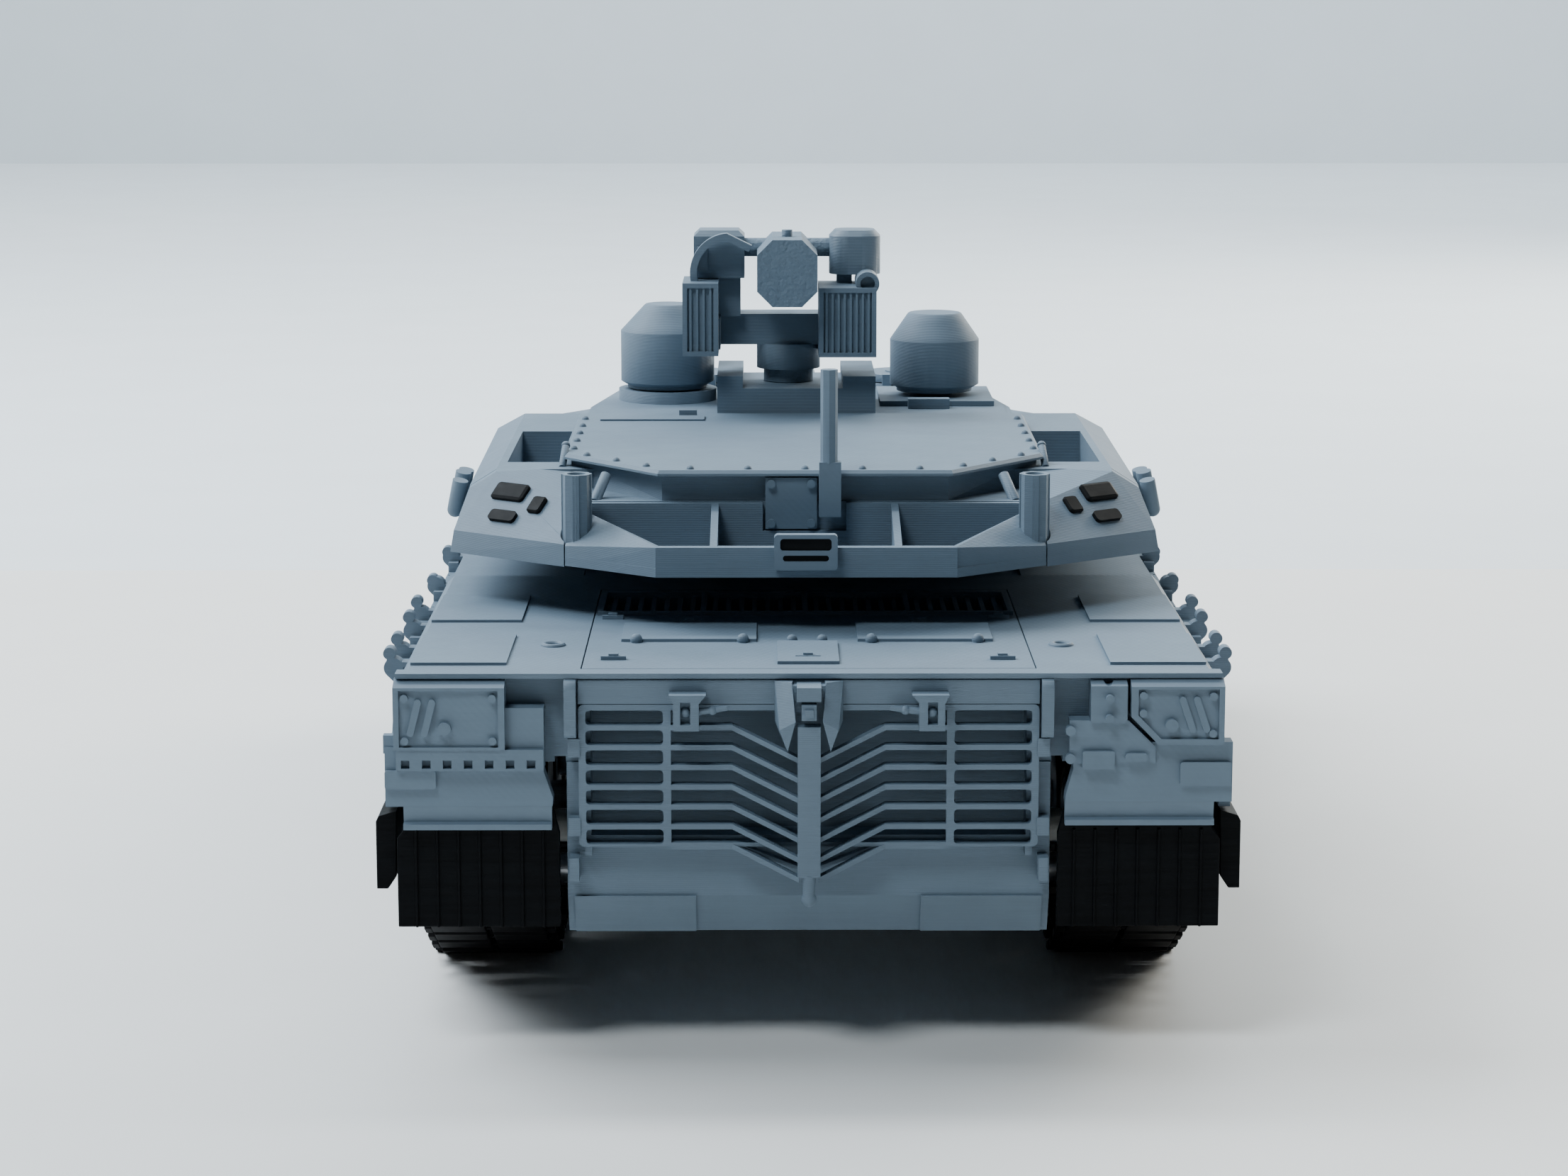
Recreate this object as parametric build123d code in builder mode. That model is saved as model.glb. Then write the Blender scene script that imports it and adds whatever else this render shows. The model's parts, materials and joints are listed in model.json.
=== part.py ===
from build123d import *
import math
import os

# Radio-controlled 1:60 main battle tank, printed in plastic, in millimetres.
# +X is the tank's right-hand side seen from behind, +Y is forward, +Z is up and the tracks stand on z = 0.
# Places along the tank are given as distances forward of the rear plate, and REAR turns them into y.

# ---------------------------------------------------------------- driving dimensions
REAR = -80.0              # y of the rear plate
HULL_LENGTH = 131.6       # rear plate to bow
MUZZLE = 162.75           # rear plate to gun muzzle
DECK_HALF = 28.8          # half width of the upper hull
TUB_HALF = 17.1           # half width of the lower hull, between the tracks
WALL = 1.3                # wall of the hull and turret shells
BELLY_Z = 8.3             # ground clearance
SPONSON_Z = 21.0          # underside of the upper hull over the tracks
DECK_Z = 27.6             # engine deck
FRONT_DECK_Z = 26.6       # deck under the turret and in front of it
BOW_Z = 20.2              # front edge of the glacis

TRACK_INNER_X = 19.0      # inner edge of each track
TRACK_OUTER_X = 29.0      # outer edge of each track
TRACK_T = 1.2             # thickness of the track band
TRACK_GAP = 0.12          # clearance between the band and what runs in it
WHEEL_R = 5.3             # road wheel radius
DRUM_R = 4.7              # sprocket and idler rim radius
TOOTH_H = 0.5             # height of a sprocket tooth
SPROCKET_TEETH = 11
SPROCKET_D = 10.2         # sprocket centre, forward of the rear plate
IDLER_D = 119.5           # idler centre, forward of the rear plate
DRIVE_Z = 14.2            # height of the sprocket and idler centres
WHEEL_Z = TRACK_T + TRACK_GAP + WHEEL_R
WHEEL_PITCH = 12.5
WHEEL_STATIONS = [27.0 + WHEEL_PITCH * i for i in range(7)]
INNER_DISC = (21.4, 23.1)     # |x| of the inner disc of every wheel
OUTER_DISC = (24.9, 26.6)     # |x| of the outer disc of every wheel
TOOTH_RINGS = [(19.9, 21.0), (27.0, 28.1)]      # |x| of the two sprocket tooth rings
GROOVES = [(19.7, 21.2), (26.8, 28.3)]          # |x| of the band's grooves for the teeth
GUIDE_RIDGE = (23.5, 24.5)                      # |x| of the band's guide ridge
GUIDE_H = 1.0

AXLE_R = 0.6
SHAFT_R = 0.7
RUN = 0.05                # radial clearance of a running fit

GEAR_MODULE = 0.4
FINAL_TEETH = 18
PINION_TEETH = 10
GEAR_X = (12.2, 13.6)     # |x| of the final drive gears
GEAR_CENTRES = GEAR_MODULE * (FINAL_TEETH + PINION_TEETH) / 2
MOTOR_R = 3.0
MOTOR_D = SPROCKET_D + GEAR_CENTRES

RING_D = 68.0             # turret ring centre, forward of the rear plate
RING_R = 15.0             # hole in the deck
COLLAR_R = 14.93          # turret collar that turns in it
COLLAR_BORE = 12.6
RING_MODULE = 0.5
RING_TEETH = 64
RING_GEAR_Z = (23.4, 24.7)
RING_CENTRES = RING_MODULE * (RING_TEETH + PINION_TEETH) / 2
TURRET_MOTOR_D = RING_D - RING_CENTRES

TURRET_Z = 28.0           # underside of the turret
BUSTLE_Z = 31.5           # underside of the bustle
TURRET_TOP = 37.3         # turret roof over the side bins
SHOULDER_D = 67.5         # where the roof beside the raised plate starts to fall towards the cheeks
CHEEK_TOP = 34.8          # turret roof where the cheeks start
ROOF_Z = 38.3             # raised roof plate
GUN_D = 97.5              # trunnion, forward of the rear plate
GUN_Z = 32.4
MANTLET_HALF = 5.8

SIGHTS = {"sight_left": (-11.75, 4.15, 39.2, 46.55, 1.9), "sight_right": (11.98, 3.95, 38.9, 45.77, 2.25)}
SIGHT_D = 72.0
RWS_X = -1.05             # turning axis of the roof weapon station
RWS_D = 66.0
RWS_PIVOT = (64.0, 52.2)  # distance and height of its elevation axis

SIDES = {"left": -1, "right": 1}
os.makedirs("parts", exist_ok=True)


# ---------------------------------------------------------------- helpers
def spot(x, d, z):
    """A point at x, d forward of the rear plate and z above the ground."""
    return (x, REAR + d, z)


def across(side, inner, outer):
    """The x range from |x| = inner to |x| = outer on one side, low value first."""
    return tuple(sorted((side * inner, side * outer)))


def block(x, d, z, mode=Mode.ADD):
    """A box between two values each of x, distance and height."""
    with Locations(spot((x[0] + x[1]) / 2, (d[0] + d[1]) / 2, (z[0] + z[1]) / 2)):
        Box(x[1] - x[0], d[1] - d[0], z[1] - z[0], mode=mode)


def side_profile(points, x, mode=Mode.ADD):
    """A (distance, height) outline carried across between two values of x."""
    with BuildSketch(Plane.YZ.offset(x[0])) as outline:
        with BuildLine():
            Polyline(*[(REAR + d, z) for d, z in points], close=True)
        make_face()
    extrude(outline.sketch, amount=x[1] - x[0], mode=mode)


def rear_profile(points, d, mode=Mode.ADD):
    """An (x, height) outline carried forward between two distances."""
    with BuildSketch(Plane.XZ.offset(-(REAR + d[1]))) as outline:
        with BuildLine():
            Polyline(*points, close=True)
        make_face()
    extrude(outline.sketch, amount=d[1] - d[0], mode=mode)


def plan_profile(points, z, mode=Mode.ADD):
    """An (x, distance) outline carried up between two heights."""
    with BuildSketch(Plane.XY.offset(z[0])) as outline:
        with BuildLine():
            Polyline(*[(x, REAR + d) for x, d in points], close=True)
        make_face()
    extrude(outline.sketch, amount=z[1] - z[0], mode=mode)


def rod(start, end, radius, mode=Mode.ADD):
    """A round bar between two spots."""
    a = Vector(*spot(*start))
    b = Vector(*spot(*end))
    with BuildSketch(Plane(origin=a, z_dir=b - a)) as section:
        Circle(radius)
    extrude(section.sketch, amount=(b - a).length, mode=mode)


def cross_rod(side, x, d, z, radius, mode=Mode.ADD):
    """A round bar along X from |x| = x[0] to |x| = x[1] on one side."""
    rod((side * x[0], d, z), (side * x[1], d, z), radius, mode)


def cone(start, end, radius, top_radius, mode=Mode.ADD):
    """A tapered round bar between two spots."""
    a = Vector(*spot(*start))
    b = Vector(*spot(*end))
    with BuildSketch(Plane(origin=a, z_dir=b - a)) as base:
        Circle(radius)
    with BuildSketch(Plane(origin=b, z_dir=b - a)) as top:
        Circle(top_radius)
    loft([base.sketch.face(), top.sketch.face()], mode=mode)


def ball(centre, radius, mode=Mode.ADD):
    """A sphere with its poles across the tank."""
    with Locations(spot(*centre)):
        Sphere(radius, rotation=(0, 90, 0), mode=mode)


def faceted(corners, mode=Mode.ADD):
    """The convex solid through the given spots."""
    ConvexPolyhedron([spot(*corner) for corner in corners], mode=mode)


def rounded_rear(x, z, d, radius, mode=Mode.ADD):
    """A rounded rectangle seen from behind, between two distances."""
    centre = ((x[0] + x[1]) / 2, (z[0] + z[1]) / 2)
    with BuildSketch(Plane.XZ.offset(-(REAR + d[1]))) as outline:
        with Locations(centre):
            RectangleRounded(x[1] - x[0], z[1] - z[0], radius)
    extrude(outline.sketch, amount=d[1] - d[0], mode=mode)


def slanted_bar(low, high, radius, d):
    """A raised bar with round ends, seen from behind, between two (x, height) points."""
    with BuildSketch(Plane.XZ.offset(-(REAR + d[1]))) as outline:
        with BuildLine():
            Line(low, high)
        trace(line_width=2 * radius)
        with Locations(low, high):
            Circle(radius)
    extrude(outline.sketch, amount=d[1] - d[0])


def gear_outline(teeth, module):
    """Corner points of a spur gear with 25 degree involute flanks and short teeth."""
    pressure = math.radians(25)
    pitch_r = module * teeth / 2
    base_r = pitch_r * math.cos(pressure)
    tip_r = pitch_r + 0.8 * module
    root_r = pitch_r - 1.1 * module
    half_tooth = math.pi / (2 * teeth) - 0.06 / pitch_r
    inv_pitch = math.tan(pressure) - pressure
    points = []
    for tooth in range(teeth):
        middle = 2 * math.pi * tooth / teeth
        flank = [(max(root_r, 0.0), half_tooth + inv_pitch)] if root_r < base_r else []
        start_r = max(base_r, root_r)
        for step in range(5):
            r = start_r + (tip_r - start_r) * step / 4
            angle = math.acos(min(1.0, base_r / r))
            flank.append((r, half_tooth + inv_pitch - (math.tan(angle) - angle)))
        for r, half in flank:
            points.append((r * math.cos(middle - half), r * math.sin(middle - half)))
        for r, half in reversed(flank):
            points.append((r * math.cos(middle + half), r * math.sin(middle + half)))
    return points


def gear(plane, teeth, module, width, bore, turn=0.0):
    """A spur gear standing on a plane, its first tooth turned by an angle in degrees."""
    with BuildSketch(plane) as outline:
        with Locations(Rotation(0, 0, turn)):
            with BuildLine(mode=Mode.PRIVATE) as edge:
                Polyline(*gear_outline(teeth, module), close=True)
            add(make_face(edge.edges(), mode=Mode.PRIVATE))
        Circle(bore, mode=Mode.SUBTRACT)
    extrude(outline.sketch, amount=width)


def save(piece, name):
    """Label a finished piece and write it under its own name."""
    piece.part.label = name
    export_step(piece.part, f"parts/{name}.step")


# ---------------------------------------------------------------- lower hull
with BuildPart() as hull_tub:
    side_profile(
        [(1.0, SPONSON_Z), (1.0, 11.3), (2.6, BELLY_Z), (113, BELLY_Z), (129.6, 16.6), (HULL_LENGTH, 19.2),
         (HULL_LENGTH, BOW_Z), (129.27, SPONSON_Z)],
        (-TUB_HALF, TUB_HALF),
    )
    inside = TUB_HALF - WALL
    floor_z = BELLY_Z + 1.4
    side_profile(
        [(4.6, SPONSON_Z + 1), (4.6, floor_z), (112.4, floor_z), (126.0, 16.8), (126.0, SPONSON_Z + 1)],
        (-inside, inside),
        Mode.SUBTRACT,
    )
    # cooling air space behind the rear grille
    block((-15.4, 15.4), (0, 3.4), (15.7, SPONSON_Z + 1), Mode.SUBTRACT)
    # raised corner panels on the slanted foot of the rear wall
    for side in SIDES.values():
        side_profile([(0.75, 11.3), (1.1, 11.3), (2.7, BELLY_Z), (2.35, BELLY_Z)], across(side, 8.0, 16.6))
    # bearing webs for the sprocket shafts, and the cradle of the drive motors
    for side in SIDES.values():
        block(across(side, 10.3, 11.5), (7.7, 12.1), (floor_z, 16.2))
        block(across(side, 1.2, 9.0), (MOTOR_D - 2.0, MOTOR_D + 2.0), (floor_z, 12.6))
        cross_rod(side, (10.0, 18.0), SPROCKET_D, DRIVE_Z, SHAFT_R + RUN, Mode.SUBTRACT)
    rod((-10.3, MOTOR_D, DRIVE_Z), (10.3, MOTOR_D, DRIVE_Z), MOTOR_R, Mode.SUBTRACT)
    # shelf for the turret motor
    block((-inside, inside), (TURRET_MOTOR_D - 4.0, TURRET_MOTOR_D + 4.0), (12.0, 13.0))
    with Locations(spot(0, TURRET_MOTOR_D, 12.5)):
        Cylinder(1.0, 3.0, mode=Mode.SUBTRACT)
    # ledges under the control board
    for side in SIDES.values():
        for d in (57.0, 83.0):
            block(across(side, 12.2, inside), (d, d + 3.0), (17.2, 18.2))
    # battery opening with its recessed rim, and the four screw bosses
    for side in SIDES.values():
        for d in (47.6, 88.4):
            rod((side * 10.2, d, floor_z), (side * 10.2, d, 12.2), 1.3)
    block((-11.4, 11.4), (46.0, 90.0), (BELLY_Z - 1, BELLY_Z + 0.7), Mode.SUBTRACT)
    block((-9.0, 9.0), (50.0, 86.0), (BELLY_Z - 1, floor_z + 1), Mode.SUBTRACT)
    for side in SIDES.values():
        for d in (47.6, 88.4):
            rod((side * 10.2, d, BELLY_Z), (side * 10.2, d, 11.6), 0.45, Mode.SUBTRACT)
    # slot of the power switch
    block((-1.0, 1.0), (96.0, 101.0), (BELLY_Z - 1, floor_z + 1), Mode.SUBTRACT)
    # axle holes
    for side in SIDES.values():
        for d in WHEEL_STATIONS:
            cross_rod(side, (15.0, 18.0), d, WHEEL_Z, AXLE_R, Mode.SUBTRACT)
        cross_rod(side, (15.0, 18.0), IDLER_D, DRIVE_Z, AXLE_R, Mode.SUBTRACT)
    # eyes at the lower corners of the rear wall
    for side in SIDES.values():
        block(across(side, 16.2, 16.9), (-0.6, 1.0), (12.7, 14.4))
        rod((side * 16.0, 0.0, 13.5), (side * 17.1, 0.0, 13.5), 0.3, Mode.SUBTRACT)

# ---------------------------------------------------------------- upper hull
LUG_STATIONS = [8.0, 13.5, 22.3, 28.6, 42.0, 56.0, 70.0, 84.0, 98.0, 110.0]
with BuildPart() as hull_deck:
    side_profile(
        [(1.2, SPONSON_Z), (1.2, 25.4), (1.2, DECK_Z), (40.0, DECK_Z), (40.8, FRONT_DECK_Z),
         (113.0, FRONT_DECK_Z), (129.27, SPONSON_Z)],
        (-DECK_HALF, DECK_HALF),
    )
    bevelled = hull_deck.edges().filter_by(Axis.Y).group_by(Axis.Z)[-1]
    chamfer(bevelled, 0.6)
    # rear lip, and the plate over the grille
    block((-29.0, 29.0), (-0.15, 1.4), (27.25, DECK_Z))
    block((-16.2, 16.2), (0.0, 1.4), (25.4, 27.1))
    block((-16.2, 16.2), (0.15, 1.4), (27.1, 27.25))
    # hollow sponsons and middle
    side_profile(
        [(4.6, SPONSON_Z + WALL), (4.6, DECK_Z - WALL), (39.4, DECK_Z - WALL), (40.2, FRONT_DECK_Z - WALL),
         (112.6, FRONT_DECK_Z - WALL), (123.5, SPONSON_Z + WALL)],
        (-DECK_HALF + WALL, DECK_HALF - WALL),
        Mode.SUBTRACT,
    )
    block((-inside, inside), (4.6, 122.0), (SPONSON_Z - 1, SPONSON_Z + 2), Mode.SUBTRACT)
    block((-15.4, 15.4), (0.9, 3.4), (SPONSON_Z - 1, 24.9), Mode.SUBTRACT)
    # opening for the engine cover, with a rim that carries it
    block((-15.0, 15.0), (3.4, 32.4), (DECK_Z - 2, DECK_Z + 1), Mode.SUBTRACT)
    block((-16.1, 16.1), (1.6, 33.4), (DECK_Z - 0.6, DECK_Z + 1), Mode.SUBTRACT)
    # pivot of the driver's hatch, its well, and the turret ring
    rod((5.4, 106.5, FRONT_DECK_Z - 0.5), (5.4, 106.5, FRONT_DECK_Z + 1.0), 0.4)
    with Locations(spot(0, RING_D, FRONT_DECK_Z)):
        Cylinder(RING_R, 6, mode=Mode.SUBTRACT)
    with Locations(spot(0, 106.5, FRONT_DECK_Z)):
        Cylinder(3.2, 6, mode=Mode.SUBTRACT)
    # raised panels over the fuel cells
    for side in SIDES.values():
        for d in ((2.9, 13.8), (19.4, 30.0)):
            block(across(side, 21.4, 28.2), d, (DECK_Z - 0.2, DECK_Z + 0.2))
        block(across(side, 18.0, 28.2), (44.0, 50.0), (FRONT_DECK_Z - 0.2, FRONT_DECK_Z + 0.2))
        # lifting eye
        with Locations(spot(side * 18.5, 10.3, DECK_Z)):
            Torus(0.7, 0.22)
    # hinge lugs that carry the skirts
    for side in SIDES.values():
        for d in LUG_STATIONS:
            # low ones where the turret passes over
            knob_z = 27.55 if d < 40.0 else 26.95
            bar_z = 26.75 if d < 40.0 else 26.4
            with BuildSketch(Plane.XZ.offset(-(REAR + d + 0.6))) as lug:
                with Locations((side * 29.85, 26.5)):
                    Circle(0.72)
                with Locations((side * 29.65, 25.88)):
                    Circle(0.42)
                make_hull()
                with Locations((side * 30.15, knob_z)):
                    Circle(0.45)
                with Locations((side * 30.1, (26.5 + knob_z) / 2)):
                    Rectangle(0.5, knob_z - 26.5)
                with Locations((side * 29.0, bar_z)):
                    Rectangle(1.4, 0.36)
            extrude(lug.sketch, amount=1.2)
    # rounded notch between the sponson and the lower hull at the rear
    for side in SIDES.values():
        block(across(side, 17.15, 17.95), (0, 5.0), (SPONSON_Z - 1, 21.4), Mode.SUBTRACT)
    # headlamp guards and tow hooks on the glacis
    for side in SIDES.values():
        block(across(side, 14.0, 18.6), (119.0, 122.6), (23.4, 26.4))
        block(across(side, 6.4, 8.0), (124.6, 127.6), (21.4, 23.6))

# ---------------------------------------------------------------- engine cover
def deck_eye(x, d, along_x=0.9):
    """A low oval lifting eye on the engine deck."""
    with Locations(spot(x, d, DECK_Z + 0.12)):
        Box(2 * along_x, 0.5, 0.3)
    block((x - 0.35, x + 0.35), (d - 0.1, d + 0.5), (DECK_Z - 0.1, DECK_Z + 0.42))


with BuildPart() as engine_cover:
    block((-16.0, 16.0), (1.7, 33.3), (DECK_Z - 0.55, DECK_Z))
    block((-14.9, 14.9), (3.5, 32.3), (DECK_Z - 1.3, DECK_Z - 0.55))
    # engine hatches with their hinge bosses
    for side in SIDES.values():
        block(across(side, 3.7, 13.6), (11.6, 18.2), (DECK_Z - 0.1, DECK_Z + 0.22))
        for x in (4.7, 12.5):
            with Locations(spot(side * x, 11.5, DECK_Z + 0.2)):
                Sphere(0.45)
        deck_eye(side * 8.7, 19.0, 0.8)
        deck_eye(side * 13.9, 5.0)
        deck_eye(side * 14.6, 20.8, 0.8)
    # small middle hatch
    block((-2.2, 2.2), (3.2, 11.0), (DECK_Z - 0.1, DECK_Z + 0.22))
    for x in (-1.1, 1.1):
        with Locations(spot(x, 11.9, DECK_Z + 0.1)):
            Sphere(0.4)
    deck_eye(0, 5.3)
    # four grille openings, each crossed by seven bars
    for panel in range(4):
        x0 = -15.4 + panel * 7.8
        block((x0, x0 + 7.4), (22.6, 30.6), (DECK_Z - 3, DECK_Z + 1), Mode.SUBTRACT)
        for bar in range(7):
            x = x0 + 0.67 + bar * 1.01
            block((x - 0.18, x + 0.18), (22.5, 30.7), (DECK_Z - 1.3, DECK_Z - 0.1))
    # raised frames around the grilles
    block((-15.8, 15.8), (22.2, 22.6), (DECK_Z - 0.1, DECK_Z + 0.3))
    block((-15.8, 15.8), (30.6, 31.0), (DECK_Z - 0.1, DECK_Z + 0.3))
    for divider in range(5):
        x = -15.6 + divider * 7.8
        block((x - 0.2, x + 0.2), (22.2, 31.0), (DECK_Z - 0.1, DECK_Z + 0.3))

# ---------------------------------------------------------------- rear grille door
ROW_PITCH = 1.43
ROW_TOP = 24.93
SLAT_DROP = 2.03          # fall of a slat from its knee to the middle bar
SLAT_BOW = 1.7            # how far the middle stands out behind the frame
KNEE_X = 5.4
BAR_HALF = 0.8
with BuildPart() as rear_grille:
    rounded_rear((-16.2, 16.2), (15.1, 25.35), (0.0, 0.95), 0.4)
    block((-9.7, 9.7), (-1, 2), (15.4, 24.93), Mode.SUBTRACT)
    for side in SIDES.values():
        for row in range(7):
            top = ROW_TOP - row * ROW_PITCH
            rounded_rear(across(side, 10.25, 15.7), (top - 1.06, top), (-1, 2), 0.28, Mode.SUBTRACT)
    # slats that fall and stand out towards the middle bar
    for side in SIDES.values():
        for row in range(1, 8):
            z = ROW_TOP - row * ROW_PITCH + 0.19
            block(across(side, KNEE_X, 9.8), (0.0, 0.95), (z - 0.19, z + 0.19))
            knee = Plane(origin=spot(side * KNEE_X, 0.475, z), x_dir=(0, 1, 0), z_dir=(side, 0, 0))
            with BuildSketch(knee) as slat:
                Rectangle(0.95, 0.38)
            run = Vector(-side * (KNEE_X - BAR_HALF + 0.1), -SLAT_BOW, -SLAT_DROP)
            extrude(slat.sketch, amount=run.length, dir=run.normalized())
    # middle bar with the tapered pin at its foot
    block((-BAR_HALF, BAR_HALF), (-SLAT_BOW - 0.55, -SLAT_BOW + 0.65), (13.4, 24.2))
    cone((0, -SLAT_BOW - 0.1, 13.5), (0, -SLAT_BOW - 0.1, 11.9), 0.5, 0.42)
    ball((0, -SLAT_BOW - 0.1, 11.75), 0.55)
    # hinge knuckles beside the frame and the pegs under it
    for side in SIDES.values():
        for z in (15.9, 21.6):
            block(across(side, 16.1, 16.95), (-0.1, 0.9), (z, z + 1.3))
        block(across(side, 15.3, 15.8), (0.2, 0.9), (14.4, 15.2))
    # sill behind the middle of the frame
    rear_profile(
        [(-9.7, 15.4), (-KNEE_X, 15.4), (-BAR_HALF, 13.6), (BAR_HALF, 13.6), (KNEE_X, 15.4), (9.7, 15.4),
         (9.7, 15.1), (KNEE_X, 15.1), (BAR_HALF, 13.3), (-BAR_HALF, 13.3), (-KNEE_X, 15.1), (-9.7, 15.1)],
        (0.3, 0.95),
    )

# ---------------------------------------------------------------- pintle hitch over the middle bar
with BuildPart() as pintle_hitch:
    # flared cheeks
    for side in SIDES.values():
        faceted([(side * x, d, z) for x, d, z in (
            (0.95, -2.4, 24.6), (1.5, -2.4, 22.5), (2.05, -2.3, 24.0), (2.4, -0.3, 27.1),
            (1.2, -0.9, 27.1), (1.9, -0.02, 22.9), (2.4, -0.02, 24.2), (0.95, -0.02, 24.6),
            (1.1, -0.02, 27.1), (2.4, -0.02, 27.1))])
    block((-1.3, 1.3), (-1.0, -0.02), (25.0, 26.9))
    block((-0.85, 0.85), (-2.3, -0.02), (26.0, 27.0))
    block((-0.52, 0.52), (-2.5, -0.9), (24.7, 25.8))
    block((-0.3, 0.3), (-2.75, -2.4), (25.0, 25.5))

# ---------------------------------------------------------------- tail lamps, tow shackles and headlamps
with BuildPart() as hull_fittings:
    for side in SIDES.values():
        # lamp housing with a recessed slot, a ball lamp and a side pin
        block(across(side, 7.7, 9.5), (-1.5, -0.02), (23.75, 26.2))
        brow = [(side * 7.7, 25.7), (side * 7.2, 26.3), (side * 9.8, 26.3), (side * 9.5, 25.7)]
        rear_profile(brow, (-1.5, -0.02))
        block(across(side, 8.3, 9.0), (-2.0, -0.9), (24.2, 25.8), Mode.SUBTRACT)
        ball((side * 8.65, -0.95, 25.0), 0.36)
        cone((side * 7.75, -0.95, 25.05), (side * 5.7, -0.95, 25.3), 0.26, 0.18)
        ball((side * 6.75, -0.95, 25.15), 0.33)
        # tow shackle hanging flat against its eye
        with BuildSketch(Plane.YZ.offset(side * 16.75 - 0.42)) as shackle:
            with Locations((REAR - 0.1, 25.1)):
                SlotCenterToCenter(2.9, 1.3, rotation=90)
                SlotCenterToCenter(2.2, 0.5, rotation=90, mode=Mode.SUBTRACT)
        extrude(shackle.sketch, amount=0.84)
        block(across(side, 16.45, 17.05), (-0.1, 1.15), (24.2, 25.0))
        # headlamps in their guards
        for x in (15.3, 17.4):
            rod((side * x, 122.65, 24.9), (side * x, 123.3, 24.9), 0.85)

# ---------------------------------------------------------------- rear stowage and armour plates
with BuildPart() as stowage_left:
    # box with a sloping lid, its recessed cover, bolts, straps and knob
    side_profile([(1.15, 22.3), (-1.0, 22.3), (-1.0, 26.75), (0.3, 27.2), (1.15, 27.2)], (-29.1, -21.3))
    block((-28.7, -21.75), (-2.0, -0.75), (22.5, 26.55), Mode.SUBTRACT)
    for x in (-28.3, -22.15):
        for z in (22.95, 26.0):
            rod((x, -1.1, z), (x, -0.7, z), 0.28)
    slanted_bar((-27.9, 23.5), (-27.35, 25.7), 0.24, (-1.05, -0.7))
    slanted_bar((-26.9, 23.5), (-26.35, 25.7), 0.24, (-1.05, -0.7))
    rod((-25.5, -1.15, 23.85), (-25.5, -0.7, 23.85), 0.46)
    # stepped block beside it
    block((-21.3, -18.6), (-0.4, 1.15), (22.3, 25.2))
    # perforated ledge
    block((-28.95, -18.6), (-0.9, 1.15), (20.8, 22.3))
    for hole in range(7):
        x = -28.3 + hole * 1.47
        block((x - 0.3, x + 0.3), (-2.0, -0.4), (20.95, 21.55), Mode.SUBTRACT)
    # armour plate, folded lip and the small raised pad
    rear_profile(
        [(-29.8, 22.4), (-29.8, 18.1), (-18.05, 18.1), (-18.0, 18.7), (-18.7, 20.8), (-18.7, 22.3)],
        (-0.3, 1.15),
    )
    side_profile(
        [(-0.3, 18.2), (-0.05, 16.95), (-0.55, 16.85), (-0.55, 16.45), (0.2, 16.45), (0.2, 18.2)],
        (-28.55, -18.1),
    )
    rounded_rear((-29.8, -26.2), (19.4, 20.75), (-0.6, -0.2), 0.2)
    block((-29.9, -29.0), (-0.2, 0.6), (21.9, 23.2))

with BuildPart() as stowage_right:
    # pentagonal box with its recessed cover, bolts, straps and knob
    with BuildSketch(Plane.XZ.offset(-(REAR + 1.15))) as pentagon:
        with BuildLine():
            Polyline((22.55, 27.2), (22.55, 24.65), (24.5, 22.65), (29.1, 22.65), (29.1, 27.2), close=True)
        make_face()
    extrude(pentagon.sketch, amount=2.15)
    with BuildSketch(Plane.XZ.offset(-(REAR - 0.75))) as recess:
        with BuildLine():
            Polyline((23.05, 26.6), (23.05, 24.75), (24.7, 23.05), (28.7, 23.05), (28.7, 26.6), close=True)
        make_face()
    extrude(recess.sketch, amount=1.0, mode=Mode.SUBTRACT)
    side_profile([(-1.1, 26.75), (-1.1, 27.3), (0.3, 27.3)], (22.0, 29.5), Mode.SUBTRACT)
    for x, z in ((23.4, 26.15), (23.4, 24.9), (28.3, 26.1), (28.3, 23.45)):
        rod((x, -1.1, z), (x, -0.7, z), 0.28)
    slanted_bar((26.85, 23.75), (26.15, 25.85), 0.24, (-1.05, -0.7))
    slanted_bar((27.85, 23.75), (27.15, 25.85), 0.24, (-1.05, -0.7))
    rod((25.4, -1.15, 24.05), (25.4, -0.7, 24.05), 0.46)
    # small junction box with a half-round notch and two studs
    side_profile([(1.15, 24.2), (-0.8, 24.2), (-0.8, 26.8), (0.3, 27.2), (1.15, 27.2)], (19.75, 22.3))
    rod((21.0, -1.2, 27.15), (21.0, 0.6, 27.15), 0.35, Mode.SUBTRACT)
    for z in (24.55, 25.95):
        rod((21.05, -1.25, z), (21.05, -0.7, z), 0.3)
    # mounting plate with a chamfered corner, two bolts and two pads
    rear_profile([(18.3, 24.3), (22.4, 24.3), (24.35, 22.4), (24.35, 21.2), (18.3, 21.2)], (-0.5, 1.15))
    for z in (21.6, 23.6):
        rod((18.35, -0.85, z), (18.35, -0.3, z), 0.36)
    rounded_rear((19.2, 21.45), (20.85, 22.15), (-0.85, -0.4), 0.15)
    rounded_rear((22.2, 23.8), (21.4, 22.0), (-0.8, -0.4), 0.28)
    # armour plate, folded lip and the small raised pad
    rear_profile(
        [(29.8, 22.7), (29.8, 18.4), (18.05, 18.4), (18.1, 18.9), (18.6, 20.8), (18.6, 22.7)],
        (-0.3, 1.15),
    )
    side_profile(
        [(-0.3, 18.5), (-0.05, 17.25), (-0.55, 17.15), (-0.55, 16.75), (0.2, 16.75), (0.2, 18.5)],
        (18.05, 28.55),
    )
    rounded_rear((26.1, 29.7), (19.6, 21.3), (-0.6, -0.2), 0.2)

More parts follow.
